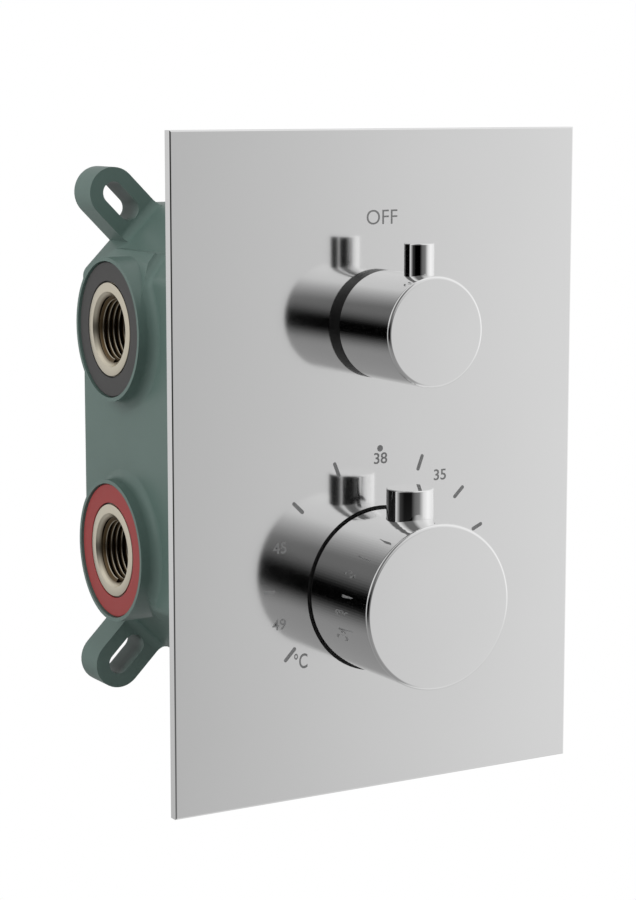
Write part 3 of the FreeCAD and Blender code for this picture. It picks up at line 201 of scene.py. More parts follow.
class SurfaceGroups:
    """Node groups for the fine surfaces, each built once and shared by the finishes."""

    def __init__(self) -> None:
        """Starts with no group built."""
        self.built: dict[Relief, bpy.types.NodeTree] = {}

    def get(self, relief: Relief) -> bpy.types.NodeTree:
        """Gives the group of one kind of surface.

        Args:
            relief: The kind of surface.

        Returns:
            The node group.
        """
        if relief not in self.built:
            self.built[relief] = self.make(relief)
        return self.built[relief]

    def make(self, relief: Relief) -> bpy.types.NodeTree:
        """Builds a group: place, axis, scale, tones and gloss in; colour, roughness and height out.

        Args:
            relief: The kind of surface.

        Returns:
            The new node group.
        """
        tree = bpy.data.node_groups.new(relief.value, "ShaderNodeTree")
        for name, kind in (("Place", "Vector"), ("Axis", "Vector"), ("Scale", "Float"), ("Tone A", "Color"),
                           ("Tone B", "Color"), ("Gloss A", "Float"), ("Gloss B", "Float")):
            tree.interface.new_socket(name, in_out="INPUT", socket_type=f"NodeSocket{kind}")
        for name, kind in (("Colour", "Color"), ("Roughness", "Float"), ("Height", "Float")):
            tree.interface.new_socket(name, in_out="OUTPUT", socket_type=f"NodeSocket{kind}")
        desk = NodeDesk(tree)
        entry = desk.add("NodeGroupInput").outputs
        tone, gloss, height = getattr(self, relief.name.lower())(desk, entry)
        colour = desk.blend(tone, entry["Tone A"], entry["Tone B"])
        rough = desk.span(gloss, entry["Gloss A"], entry["Gloss B"])
        desk.add("NodeGroupOutput", {"Colour": colour, "Roughness": rough, "Height": height})
        return tree

    def polished(self, desk: NodeDesk, entry) -> tuple:
        """Buffed metal: wide soft haze and a trace of fine lines."""
        haze = desk.noise(entry["Place"], entry["Scale"], 2.0)
        fine = desk.noise(entry["Place"], desk.times(entry["Scale"], 60.0), 2.0)
        return haze, desk.maths("MULTIPLY_ADD", fine, 0.3, desk.times(haze, 0.7)), haze

    def moulded(self, desk: NodeDesk, entry) -> tuple:
        """Moulded plastic: close grain over a slow change of tone."""
        slow = desk.noise(entry["Place"], desk.times(entry["Scale"], 0.04), 3.0)
        grain = desk.noise(entry["Place"], entry["Scale"], 4.0, 0.6)
        return slow, grain, desk.maths("MULTIPLY_ADD", slow, 0.4, grain)

    def turned(self, desk: NodeDesk, entry) -> tuple:
        """Turned metal: feed lines across the axis, broken by a little speckle."""
        along = desk.add("ShaderNodeVectorMath", {0: entry["Place"], 1: entry["Axis"]},
                         operation="DOT_PRODUCT")
        feed = desk.add("ShaderNodeCombineXYZ", {0: along.outputs["Value"]}).outputs[0]
        lines = desk.noise(feed, entry["Scale"], 2.0)
        speckle = desk.noise(entry["Place"], desk.times(entry["Scale"], 0.6), 3.0, 0.7)
        return speckle, lines, desk.maths("MULTIPLY_ADD", speckle, 0.5, lines)

    def cast(self, desk: NodeDesk, entry) -> tuple:
        """Sand-cast metal: lumps and small pits."""
        lumps = desk.noise(entry["Place"], entry["Scale"], 5.0, 0.65)
        pits = desk.cells(entry["Place"], desk.times(entry["Scale"], 2.0))
        return lumps, lumps, desk.maths("MULTIPLY_ADD", pits, 0.5, lumps)

    def rubber(self, desk: NodeDesk, entry) -> tuple:
        """Pressed rubber: matt bloom in soft clouds with a very fine tooth."""
        bloom = desk.noise(entry["Place"], desk.times(entry["Scale"], 0.08), 4.0, 0.6)
        tooth = desk.noise(entry["Place"], entry["Scale"], 2.0)
        return bloom, bloom, tooth

    def foam(self, desk: NodeDesk, entry) -> tuple:
        """Closed-cell foam: small round cells."""
        cells = desk.cells(entry["Place"], entry["Scale"])
        return cells, cells, cells

    def fired(self, desk: NodeDesk, entry) -> tuple:
        """Lapped ceramic: even and faintly clouded."""
        cloud = desk.noise(entry["Place"], entry["Scale"], 3.0)
        return cloud, cloud, cloud


@dataclass(frozen=True)
class Finish:
    """A material: two close tones, a range of gloss and a fine surface."""

    name: str
    tone_a: tuple[float, float, float]
    tone_b: tuple[float, float, float]
    gloss: tuple[float, float]
    relief: Relief
    scale: float
    bump: float
    metallic: float = 0.0
    axis: tuple[float, float, float] = (0.0, 1.0, 0.0)
    shine: float = 0.5

    def make(self, groups: SurfaceGroups) -> bpy.types.Material:
        """Builds the material.

        Args:
            groups: The shared surface groups.

        Returns:
            The new material.
        """
        material = bpy.data.materials.new(self.name)
        material.use_nodes = True
        desk = NodeDesk(material.node_tree)
        place = desk.add("ShaderNodeTexCoord").outputs["Object"]
        surface = desk.add("ShaderNodeGroup", node_tree=groups.get(self.relief))
        desk.tree.links.new(place, surface.inputs["Place"])
        surface.inputs["Axis"].default_value = self.axis
        surface.inputs["Scale"].default_value = self.scale
        surface.inputs["Tone A"].default_value = (*self.tone_a, 1)
        surface.inputs["Tone B"].default_value = (*self.tone_b, 1)
        surface.inputs["Gloss A"].default_value = self.gloss[0]
        surface.inputs["Gloss B"].default_value = self.gloss[1]
        bump = desk.add("ShaderNodeBump", {"Height": surface.outputs["Height"], "Strength": 1.0,
                                           "Distance": self.bump * MM})
        shader = desk.add("ShaderNodeBsdfPrincipled", {
            "Base Color": self.colour_and_shade(desk, place, surface.outputs["Colour"]),
            "Roughness": surface.outputs["Roughness"],
            "Normal": bump.outputs[0],
            "Metallic": self.metallic,
            "Specular IOR Level": self.shine,
        })
        desk.add("ShaderNodeOutputMaterial", {"Surface": shader.outputs[0]})
        return material

    def colour_and_shade(self, desk: NodeDesk, place, colour) -> bpy.types.NodeSocket:
        """Leaves the surface's colour as it is."""
        return colour


@dataclass(frozen=True)
class PortBrassWithPaintedShade(Finish):
    """Brass with painted shade: dull brown down a port's bore and near black in the head's step and on the
    head's outer side; the face keeps the brass colour and the thread's crests keep most of it as a painted
    highlight.
    """

    # Painted shade: dull brown laid down the bore, where little light reaches.
    bore_shade_tone: tuple[float, float, float] = (0.13, 0.088, 0.045)
    # Painted shade: near black laid in the head's step and on the head's outer side.
    step_shade_tone: float = 0.01
    # Painted highlight: share of the bore shade left on the thread's crests, so they stay bright.
    crest_shade_share: float = 0.25
    # Radii over which the painted bore shade fades in, in millimetres.
    bore_shade_radii: tuple[float, float] = (11.2, 10.3)
    # Radii over which the painted crest highlight comes in, in millimetres.
    crest_highlight_radii: tuple[float, float] = (9.55, 9.42)
    # Radii over which the painted step shade comes in, in millimetres.
    step_shade_radii: tuple[float, float] = (14.72, 14.76)

    def colour_and_shade(self, desk: NodeDesk, place, colour) -> bpy.types.NodeSocket:
        """Mixes in painted shade down the bore and in the head's step by the distance from the port's axis,
        and leaves a painted highlight on the thread's crests.

        Args:
            desk: The material's nodes.
            place: Socket with the place.
            colour: Socket with the brass colour.

        Returns:
            The mixed colour's socket.
        """
        parts = desk.add("ShaderNodeSeparateXYZ", {0: place})
        level = desk.maths("SUBTRACT", desk.maths("ABSOLUTE", parts.outputs[2]), OUTLET_Z * MM)
        front = desk.maths("SUBTRACT", parts.outputs[1], PORT_Y * MM)
        square = desk.maths("MULTIPLY_ADD", level, level, desk.times(front, front))
        radius = desk.maths("SQRT", square)
        # Painted shade inside the bore, full within its inner radius.
        inside = desk.span(radius, 0.0, 1.0, *(edge * MM for edge in self.bore_shade_radii))
        # Painted highlight: the crests keep most of the brass colour.
        crest = desk.span(radius, 1.0, self.crest_shade_share, *(edge * MM for edge in self.crest_highlight_radii))
        bore = desk.blend(desk.times(inside, crest), colour, (*self.bore_shade_tone, 1))
        # Painted shade: near black from the head's step outwards.
        step = desk.span(radius, 0.0, 1.0, *(edge * MM for edge in self.step_shade_radii))
        return desk.blend(step, bore, (*even(self.step_shade_tone), 1))


def even(value: float) -> tuple[float, float, float]:
    """Gives a neutral grey."""
    return (value, value, value)


FINISHES = {finish.name: finish for finish in (
    Finish("polished_chrome", even(0.88), even(0.92), (0.025, 0.045), Relief.POLISHED, 30, 0.0004, 1.0),
    Finish("plate_chrome", even(0.87), even(0.91), (0.085, 0.12), Relief.POLISHED, 18, 0.0004, 1.0),
    Finish("etched_mark", even(0.22), even(0.26), (0.55, 0.65), Relief.CAST, 4000, 0.004),
    Finish("green_moulding", (0.084, 0.130, 0.114), (0.096, 0.146, 0.129), (0.36, 0.48),
           Relief.MOULDED, 1500, 0.012),
    Finish("turned_brass", (0.70, 0.61, 0.44), (0.80, 0.72, 0.55), (0.22, 0.36),
           Relief.TURNED, 5000, 0.004, 1.0),
    # Port brass carries painted shade in the bore and the head's step, and a painted highlight on the
    # thread's crests.
    PortBrassWithPaintedShade("port_brass", (0.74, 0.67, 0.54), (0.83, 0.77, 0.63), (0.24, 0.38),
               Relief.TURNED, 5000, 0.004, 1.0, (1.0, 0.0, 0.0)),
    Finish("cast_brass", (0.50, 0.38, 0.20), (0.62, 0.48, 0.27), (0.42, 0.6), Relief.CAST, 900, 0.06, 1.0),
    Finish("grey_rubber", (0.048, 0.047, 0.046), (0.056, 0.054, 0.053), (0.55, 0.68),
           Relief.RUBBER, 3000, 0.004),
    Finish("red_rubber", (0.250, 0.034, 0.032), (0.290, 0.040, 0.038), (0.5, 0.62),
           Relief.RUBBER, 3000, 0.004),
    Finish("blue_rubber", (0.022, 0.075, 0.25), (0.030, 0.090, 0.29), (0.5, 0.62),
           Relief.RUBBER, 3000, 0.004),
    Finish("black_rubber", even(0.012), even(0.020), (0.5, 0.66), Relief.RUBBER, 3000, 0.004),
    Finish("black_plastic", even(0.004), even(0.006), (0.30, 0.42), Relief.MOULDED, 2500, 0.004, shine=0.3),
    Finish("white_plastic", even(0.72), even(0.78), (0.38, 0.5), Relief.MOULDED, 2500, 0.006),
    Finish("foam_gasket", even(0.022), even(0.05), (0.8, 0.95), Relief.FOAM, 1800, 0.12),
    Finish("spring_steel", even(0.46), even(0.58), (0.25, 0.38), Relief.POLISHED, 400, 0.002, 1.0),
    Finish("stainless_steel", even(0.52), even(0.62), (0.22, 0.34), Relief.TURNED, 4000, 0.003, 1.0),
    Finish("zinc_steel", (0.58, 0.60, 0.64), (0.68, 0.69, 0.70), (0.3, 0.42), Relief.CAST, 1500, 0.004, 1.0),
    Finish("ceramic", even(0.74), even(0.80), (0.10, 0.16), Relief.FIRED, 300, 0.0005),
    Finish("copper", (0.72, 0.33, 0.20), (0.80, 0.40, 0.26), (0.28, 0.4), Relief.TURNED, 4000, 0.003, 1.0),
)}


class Paint:
    """Keeps one material for each finish and puts it on pieces and nodes."""

    def __init__(self) -> None:
        """Builds no material until it is asked for."""
        self.groups = SurfaceGroups()
        self.made: dict[str, bpy.types.Material] = {}

    def material(self, name: str) -> bpy.types.Material:
        """Gives a finish's material.

        Args:
            name: The finish.

        Returns:
            Its material.
        """
        if name not in self.made:
            self.made[name] = FINISHES[name].make(self.groups)
        return self.made[name]

    def dress_node(self, name: str, slot: str) -> None:
        """Gives a carried-over node the finish of its slot.

        Args:
            name: The node.
            slot: Its material slot in the record.
        """
        node = frame["nodes"][name]
        for place in range(max(1, len(node.material_slots))):
            if place < len(node.material_slots):
                node.material_slots[place].material = self.material(slot)
            else:
                node.data.materials.append(self.material(slot))
        LOG.info("node %s: %s", name, slot)

    def dress_piece(self, piece: bpy.types.Object, finish: str) -> None:
        """Gives a new piece its finish as its only material."""
        piece.data.materials.clear()
        piece.data.materials.append(self.material(finish))


# ---- modelling ----------------------------------------------------------------


class Bench:
    """Modelling moves that the pieces share. Sizes are in millimetres."""

    @staticmethod
    def clear() -> None:
        """Leaves edit mode and deselects everything."""
        if bpy.context.mode != "OBJECT":
            bpy.ops.object.mode_set(mode="OBJECT")
        bpy.ops.object.select_all(action="DESELECT")

    @staticmethod
    def pick(piece: bpy.types.Object) -> None:
        """Selects one piece alone and makes it active."""
        Bench.clear()
        piece.select_set(True)
        bpy.context.view_layer.objects.active = piece

    @staticmethod
    def spot(place: tuple[float, float, float], name: str) -> bpy.types.Object:
        """Starts a piece as a single point, in edit mode with that point selected.

        Args:
            place: The point.
            name: The piece's name.

        Returns:
            The new object.
        """
        Bench.clear()
        bpy.ops.mesh.primitive_plane_add(size=MM, location=(0, 0, 0))
        piece = bpy.context.active_object
        piece.name = name
        bpy.ops.object.mode_set(mode="EDIT")
        bpy.ops.mesh.merge(type="CENTER")
        bpy.ops.mesh.select_all(action="SELECT")
        bpy.ops.transform.translate(value=Vector(place) * MM)
        return piece

    @staticmethod
    def draw(points: list[tuple[float, float, float]], closed: bool) -> None:
        """Draws straight edges from the selected first point through the rest.

        Args:
            points: All the points, the first one already there.
            closed: Whether an edge joins the last point to the first.
        """
        for before, after in zip(points, points[1:]):
            step = (Vector(after) - Vector(before)) * MM
            bpy.ops.mesh.extrude_vertices_move(TRANSFORM_OT_translate={"value": step})
        bpy.ops.mesh.select_all(action="SELECT")
        if closed:
            bpy.ops.mesh.select_mode(type="VERT")
            mesh = bpy.context.edit_object
            bpy.ops.object.mode_set(mode="OBJECT")
            for number, vertex in enumerate(mesh.data.vertices):
                vertex.select = number in (0, len(points) - 1)
            bpy.ops.object.mode_set(mode="EDIT")
            bpy.ops.mesh.edge_face_add()
            bpy.ops.mesh.select_all(action="SELECT")

    @staticmethod
    def turned(outline: list[tuple[float, float]], steps: int, name: str) -> bpy.types.Object:
        """Turns a closed outline about the X axis.

        Args:
            outline: Points as (distance along X, radius).
            steps: Faces round the axis.
            name: The piece's name.

        Returns:
            The finished object.
        """
        points = [(x, 0.0, radius) for x, radius in outline]
        piece = Bench.spot(points[0], name)
        Bench.draw(points, closed=True)
        bpy.ops.mesh.spin(steps=steps, angle=TURN, center=(0, 0, 0), axis=(1, 0, 0))
        bpy.ops.mesh.select_all(action="SELECT")
        bpy.ops.mesh.remove_doubles(threshold=WELD * MM)
        bpy.ops.mesh.normals_make_consistent(inside=False)
        bpy.ops.object.mode_set(mode="OBJECT")
        return piece

    @staticmethod
    def wound(profile: list[tuple[float, float]], pitch: float, turns: int, steps: int,
              name: str) -> bpy.types.Object:
        """Winds a closed profile round the Z axis.

        Args:
            profile: Points as (radius, height).
            pitch: Rise in one turn.
            turns: Whole turns.
            steps: Steps in a turn.
            name: The piece's name.

        Returns:
            The finished object, with closed ends.
        """
        points = [(radius, 0.0, height) for radius, height in profile]
        piece = Bench.spot(points[0], name)
        Bench.draw(points, closed=True)
        bpy.ops.object.mode_set(mode="OBJECT")
        winding = piece.modifiers.new("winding", "SCREW")
        winding.axis = "Z"
        winding.screw_offset = pitch * MM
        winding.iterations = turns
        winding.steps = steps
        winding.render_steps = steps
        bpy.ops.object.modifier_apply(modifier=winding.name)
        bpy.ops.object.mode_set(mode="EDIT")
        bpy.ops.mesh.select_mode(type="EDGE")
        bpy.ops.mesh.select_all(action="SELECT")
        bpy.ops.mesh.fill_holes(sides=0)
        bpy.ops.mesh.select_all(action="SELECT")
        bpy.ops.mesh.normals_make_consistent(inside=False)
        bpy.ops.object.mode_set(mode="OBJECT")
        return piece

    @staticmethod
    def settle(piece: bpy.types.Object, place: tuple[float, float, float],
               turn: tuple[float, float, float] = (0.0, 0.0, 0.0)) -> None:
        """Turns and moves a piece, then puts its place into its mesh.

        Args:
            piece: The piece.
            place: Where its origin goes.
            turn: Angles about X, Y and Z in degrees.
        """
        Bench.pick(piece)
        piece.rotation_euler = [math.radians(angle) for angle in turn]
        piece.location = Vector(place) * MM
        bpy.ops.object.transform_apply(location=True, rotation=True, scale=True)

    @staticmethod
    def smooth(piece: bpy.types.Object, angle: float = 30.0) -> None:
        """Shades a piece smooth, apart from edges sharper than an angle in degrees."""
        Bench.pick(piece)
        bpy.ops.object.shade_smooth_by_angle(angle=math.radians(angle))

    @staticmethod
    def copy(piece: bpy.types.Object, name: str) -> bpy.types.Object:
        """Copies a piece with its own mesh.

        Args:
            piece: The piece.
            name: The copy's name.

        Returns:
            The copy.
        """
        Bench.pick(piece)
        bpy.ops.object.duplicate(linked=False)
        twin = bpy.context.active_object
        twin.name = name
        return twin

    @staticmethod
    def join(pieces: list[bpy.types.Object], name: str) -> bpy.types.Object:
        """Joins several meshes into one piece.

        Args:
            pieces: The meshes.
            name: The piece's name.

        Returns:
            The joined piece.
        """
        Bench.clear()
        for piece in pieces:
            piece.select_set(True)
        bpy.context.view_layer.objects.active = pieces[0]
        bpy.ops.object.join()
        pieces[0].name = name
        return pieces[0]

    @staticmethod
    def rod(radius: float, low: tuple[float, float, float], high_z: float) -> bpy.types.Object:
        """Adds an upright rod that cuts or joins on.

        Args:
            radius: Its radius.
            low: Middle of its lower end.
            high_z: Height of its upper end.

        Returns:
            The rod, with its place in its mesh.
        """
        Bench.clear()
        middle = Vector((low[0], low[1], (low[2] + high_z) / 2)) * MM
        bpy.ops.mesh.primitive_cylinder_add(vertices=ROD_SIDES, radius=radius * MM,
                                            depth=(high_z - low[2]) * MM, location=middle)
        bpy.ops.object.transform_apply(location=True, rotation=True, scale=True)
        return bpy.context.active_object

    @staticmethod
    def combine(piece: bpy.types.Object, tool: bpy.types.Object, operation: str) -> None:
        """Cuts a tool out of a piece or adds it, then removes the tool.

        Args:
            piece: The piece.
            tool: The other mesh.
            operation: DIFFERENCE or UNION.
        """
        Bench.pick(piece)
        step = piece.modifiers.new("step", "BOOLEAN")
        step.operation = operation
        step.solver = "EXACT"
        step.object = tool
        bpy.ops.object.modifier_apply(modifier=step.name)
        bpy.data.objects.remove(tool)

    @staticmethod
    def even_shading(piece: bpy.types.Object, angle: float) -> None:
        """Shades a piece smooth and keeps its flat faces flat.

        Args:
            piece: The piece.
            angle: Edges sharper than this many degrees stay sharp.
        """
        Bench.smooth(piece, angle)
        weight = piece.modifiers.new("weight", "WEIGHTED_NORMAL")
        weight.weight = 100
        weight.keep_sharp = True
        bpy.ops.object.modifier_apply(modifier=weight.name)

    @staticmethod
    def hand_over(piece: bpy.types.Object, body: str, slot: str, *nodes: str) -> None:
        """Says what a finished piece rides on, its slot and the nodes it stands for.

        Args:
            piece: The finished piece.
            body: The body it moves with.
            slot: The record's material slot.
            nodes: The nodes it replaces.
        """
        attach(piece, body)
        if nodes:
            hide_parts(*nodes)
        LOG.info("piece %s: body %s, slot %s, %d faces", piece.name, body, slot, len(piece.data.polygons))


# ---- dial ---------------------------------------------------------------------


@dataclass(frozen=True)
class Tick:
    """One line of the dial: its angle clockwise from the top, inner and outer radius, and lean."""

    angle: float
    inner: float
    outer: float
    lean: float = 0.0


@dataclass(frozen=True)
class Word:
    """A number or word on the plate: the middle and size of the space it fills, and its thickening."""

    text: str
    x: float
    z: float
    width: float
    height: float
    weight: float = 0.012


@dataclass
class Dial:
    """Etched marks on the plate, placed from the plate's middle."""

    centre_z: float = -38.4
    line_width: float = 1.2
    proud: float = 0.03
    ticks: list[Tick] = field(default_factory=lambda: [
        Tick(20.7, 37.7, 42.9), Tick(46.0, 37.0, 42.0), Tick(65.6, 36.7, 40.9), Tick(-22.0, 38.2, 43.2),
        Tick(-46.2, 37.0, 42.1), Tick(-85.7, 36.5, 40.4), Tick(-118.0, 32.8, 38.3, -17.6),
    ])
    words: list[Word] = field(default_factory=lambda: [
        Word("38", 0.1, 1.7, 4.7, 3.4), Word("35", 21.5, -5.0, 4.4, 3.4), Word("45", -34.8, -22.5, 4.6, 3.4),
        Word("49", -35.1, -45.5, 4.6, 3.35), Word("°C", -27.7, -57.4, 4.6, 4.8),
        Word("OFF", 0.28, 74.0, 10.7, 4.33, -0.004),
    ])
    dot: tuple[float, float, float] = (-0.1, 4.7, 1.0)

    def tick_blank(self, length: float) -> bpy.types.Object:
        """Makes one round-ended bar that stands up from the origin in the plate's plane.

        Args:
            length: Its whole length.

        Returns:
            The bar.
        """
        Bench.clear()
        radius = self.line_width / 2
        bpy.ops.mesh.primitive_cylinder_add(vertices=20, radius=radius * MM, depth=2 * self.proud * MM,
                                            rotation=(math.pi / 2, 0, 0))
        bar = bpy.context.active_object
        bpy.ops.object.transform_apply(location=True, rotation=True, scale=True)
        bpy.ops.object.mode_set(mode="EDIT")
        bpy.ops.mesh.select_mode(type="VERT")
        bpy.ops.object.mode_set(mode="OBJECT")
        for part in (*bar.data.polygons, *bar.data.edges):
            part.select = False
        for vertex in bar.data.vertices:
            vertex.select = vertex.co.z > 0.01 * MM
        bpy.ops.object.mode_set(mode="EDIT")
        bpy.ops.transform.translate(value=(0, 0, (length - self.line_width) * MM))
        bpy.ops.object.mode_set(mode="OBJECT")
        return bar

    def make_ticks(self) -> bpy.types.Object:
        """Places the lines and the dot.

        Returns:
            One piece with all of them.
        """
        bars = []
        for number, tick in enumerate(self.ticks):
            bar = self.tick_blank(tick.outer - tick.inner)
            bar.name = f"tick_{number}"
            angle = math.radians(tick.angle)
            slant = math.radians(tick.angle + tick.lean)
            middle = (tick.inner + tick.outer) / 2
            half = (tick.outer - tick.inner - self.line_width) / 2
            x = middle * math.sin(angle) - half * math.sin(slant)
            z = middle * math.cos(angle) - half * math.cos(slant)
            place = (x, PLATE_FRONT, self.centre_z - PLATE_DROP + z)
            Bench.settle(bar, place, (0.0, tick.angle + tick.lean, 0.0))
            bars.append(bar)
        x, z, radius = self.dot
        Bench.clear()
        bpy.ops.mesh.primitive_cylinder_add(vertices=32, radius=radius * MM, depth=2 * self.proud * MM)
        point = bpy.context.active_object
        Bench.settle(point, (x, PLATE_FRONT, z - PLATE_DROP), (90.0, 0.0, 0.0))
        return Bench.join(bars + [point], "dial_lines")

    def make_words(self) -> bpy.types.Object:
        """Writes the numbers and words.

        Returns:
            One piece with all of them.
        """
        written = []
        for word in self.words:
            Bench.clear()
            bpy.ops.object.text_add()
            text = bpy.context.active_object
            text.data.body = word.text
            text.data.extrude = self.proud * MM
            text.data.offset = word.weight
            text.data.resolution_u = 6
            bpy.ops.object.convert(target="MESH")
            piece = bpy.context.active_object
            corners = [vertex.co.copy() for vertex in piece.data.vertices]
            low = Vector([min(corner[i] for corner in corners) for i in range(3)])
            high = Vector([max(corner[i] for corner in corners) for i in range(3)])
            middle = (low + high) / 2
            bpy.ops.object.mode_set(mode="EDIT")
            bpy.ops.mesh.select_all(action="SELECT")
            bpy.ops.transform.translate(value=-middle)
            stretch = (word.width * MM / (high.x - low.x), word.height * MM / (high.y - low.y), 1)
            bpy.ops.transform.resize(value=stretch, center_override=(0, 0, 0))
            bpy.ops.mesh.remove_doubles(threshold=WELD * MM)
            bpy.ops.mesh.normals_make_consistent(inside=False)
            bpy.ops.object.mode_set(mode="OBJECT")
            Bench.settle(piece, (word.x, PLATE_FRONT, word.z - PLATE_DROP), (90.0, 0.0, 0.0))
            written.append(piece)
        return Bench.join(written, "dial_words")

    def build(self, paint: Paint) -> None:
        """Makes and dresses the marks."""
        for piece in (self.make_ticks(), self.make_words()):
            paint.dress_piece(piece, "etched_mark")
            Bench.hand_over(piece, "housing", "plate_chrome")


# ---- ports --------------------------------------------------------------------


@dataclass
class PortNipple:
    """Brass nipple with its female thread, turned about X and copied to the four ports."""

    face: float = 55.3
    shoulder: float = 39.5
    tip: float = 29.8
    head_radius: float = 15.1
    spigot_radius: float = 13.4
    bore: float = 7.5
    crest: float = 9.32
    root: float = 10.45
    pitch: float = 1.814
    ridge_base: float = 0.46
    ridge_top: float = 0.05
    ridge_round: float = 0.08
    ridge_steps: int = 72
    thread_end: float = 39.8
    run_out: float = 0.8
    mouth: float = 11.7
    lead: float = 1.3
    edge: float = 0.25
    step_width: float = 0.4
    step_depth: float = 0.7
    seal_floor: float = 11.4
    seal_from: float = 33.55
    seal_to: float = 35.75
    steps: int = 96

    def outline(self) -> list[tuple[float, float]]:
        """Gives the nipple's section.

        Returns:
            Points as (distance from the middle, radius).
        """
        rim = self.head_radius - self.step_width
        return [
            (self.face, self.mouth + self.edge / 2), (self.face, rim - self.edge),
            (self.face - CORNER * self.edge, rim - CORNER * self.edge), (self.face - self.edge, rim),
            (self.face - self.step_depth, rim), (self.face - self.step_depth, self.head_radius),
            (self.shoulder, self.head_radius), (self.shoulder, self.spigot_radius),
            (self.seal_to, self.spigot_radius), (self.seal_to, self.seal_floor),
            (self.seal_from, self.seal_floor), (self.seal_from, self.spigot_radius),
            (self.tip + self.edge, self.spigot_radius), (self.tip, self.spigot_radius - self.edge),
            (self.tip, self.bore), (self.thread_end, self.bore), (self.thread_end, self.crest),
            (self.thread_end + self.run_out, self.root), (self.face - self.lead, self.root),
            (self.face - self.edge, self.mouth - self.edge / 2),
        ]

    def thread(self) -> bpy.types.Object:
        """Winds the thread's ridge and lays it along X.

        Returns:
            The ridge, with its ends closed.
        """
        base = self.ridge_base * self.pitch
        top = self.ridge_top * self.pitch
        foot = self.root + self.ridge_round
        shoulder = self.crest + self.ridge_round
        profile = [(foot, -base), (shoulder, -top), (self.crest, 0.0), (shoulder, top), (foot, base)]
        turns = int((self.face - self.thread_end - 2 * self.run_out) / self.pitch) - 1
        ridge = Bench.wound(profile, self.pitch, turns, self.ridge_steps, "thread_ridge")
        Bench.settle(ridge, (self.face - self.lead - base - turns * self.pitch, 0, 0), (0.0, 90.0, 0.0))
        return ridge

    def build(self, paint: Paint) -> None:
        """Makes the nipple once and puts a copy in each port."""
        blank = Bench.turned(self.outline(), self.steps, "nipple_blank")
        blank = Bench.join([blank, self.thread()], "nipple_blank")
        Bench.smooth(blank)
        # The nipple's brass carries painted shade and a painted highlight.
        paint.dress_piece(blank, "port_brass")
        places = {"hot_port_nipple": (-1, INLET_Z), "cold_port_nipple": (1, INLET_Z),
                  "left_outlet_nipple": (-1, OUTLET_Z), "right_outlet_nipple": (1, OUTLET_Z)}
        for name, (side, z) in places.items():
            nipple = Bench.copy(blank, f"{name}_threaded")
            Bench.settle(nipple, (0, PORT_Y, z), (0.0, 0.0, 0.0 if side > 0 else 180.0))
            Bench.hand_over(nipple, "housing", "turned_brass", name)
        Bench.clear()
        bpy.data.objects.remove(blank)


@dataclass
class MarkerRing:
    """Coloured rubber ring with a narrow step round its outer front edge, copied to the four ports."""

    front: float = 55.3
    back: float = 50.0
    inner: float = 15.15
    outer: float = 21.35
    step_width: float = 0.3
    step_depth: float = 0.6
    edge: float = 0.2
    steps: int = 128

    def outline(self) -> list[tuple[float, float]]:
        """Gives the ring's section.

        Returns:
            Points as (distance from the middle, radius).
        """
        lip = self.outer - self.step_width
        return [
            (self.front, self.inner + self.edge), (self.front, lip - self.edge),
            (self.front - CORNER * self.edge, lip - CORNER * self.edge), (self.front - self.edge, lip),
            (self.front - self.step_depth, lip), (self.front - self.step_depth, self.outer),
            (self.back, self.outer), (self.back, self.inner),
            (self.front - self.edge, self.inner),
            (self.front - CORNER * self.edge, self.inner + CORNER * self.edge),
        ]

    def build(self, paint: Paint) -> None:
        """Makes the ring once and puts a copy round each port."""
        blank = Bench.turned(self.outline(), self.steps, "ring_blank")
        Bench.even_shading(blank, 50.0)
        places = {"hot_marker_ring": (-1, INLET_Z, "red_rubber"),
                  "cold_marker_ring": (1, INLET_Z, "blue_rubber"),
                  "left_outlet_ring": (-1, OUTLET_Z, "grey_rubber"),
                  "right_outlet_ring": (1, OUTLET_Z, "grey_rubber")}
        for name, (side, z, finish) in places.items():
            ring = Bench.copy(blank, f"{name}_turned")
            paint.dress_piece(ring, finish)
            Bench.settle(ring, (0, PORT_Y, z), (0.0, 0.0, 0.0 if side > 0 else 180.0))
            Bench.hand_over(ring, "housing", finish, name)
        Bench.clear()
        bpy.data.objects.remove(blank)


# ---- knobs ----------------------------------------------------------------------


@dataclass(frozen=True)
class Socket:
    """An upright round hole or tube in a knob: radius, place along Y, and both ends from the knob's axis."""

    radius: float
    y: float
    low: float
    high: float

    def rod(self, axis_z: float) -> bpy.types.Object:
        """Makes the rod that fills it, round a knob's axis at a height."""
        return Bench.rod(self.radius, (0, self.y, axis_z + self.low), axis_z + self.high)


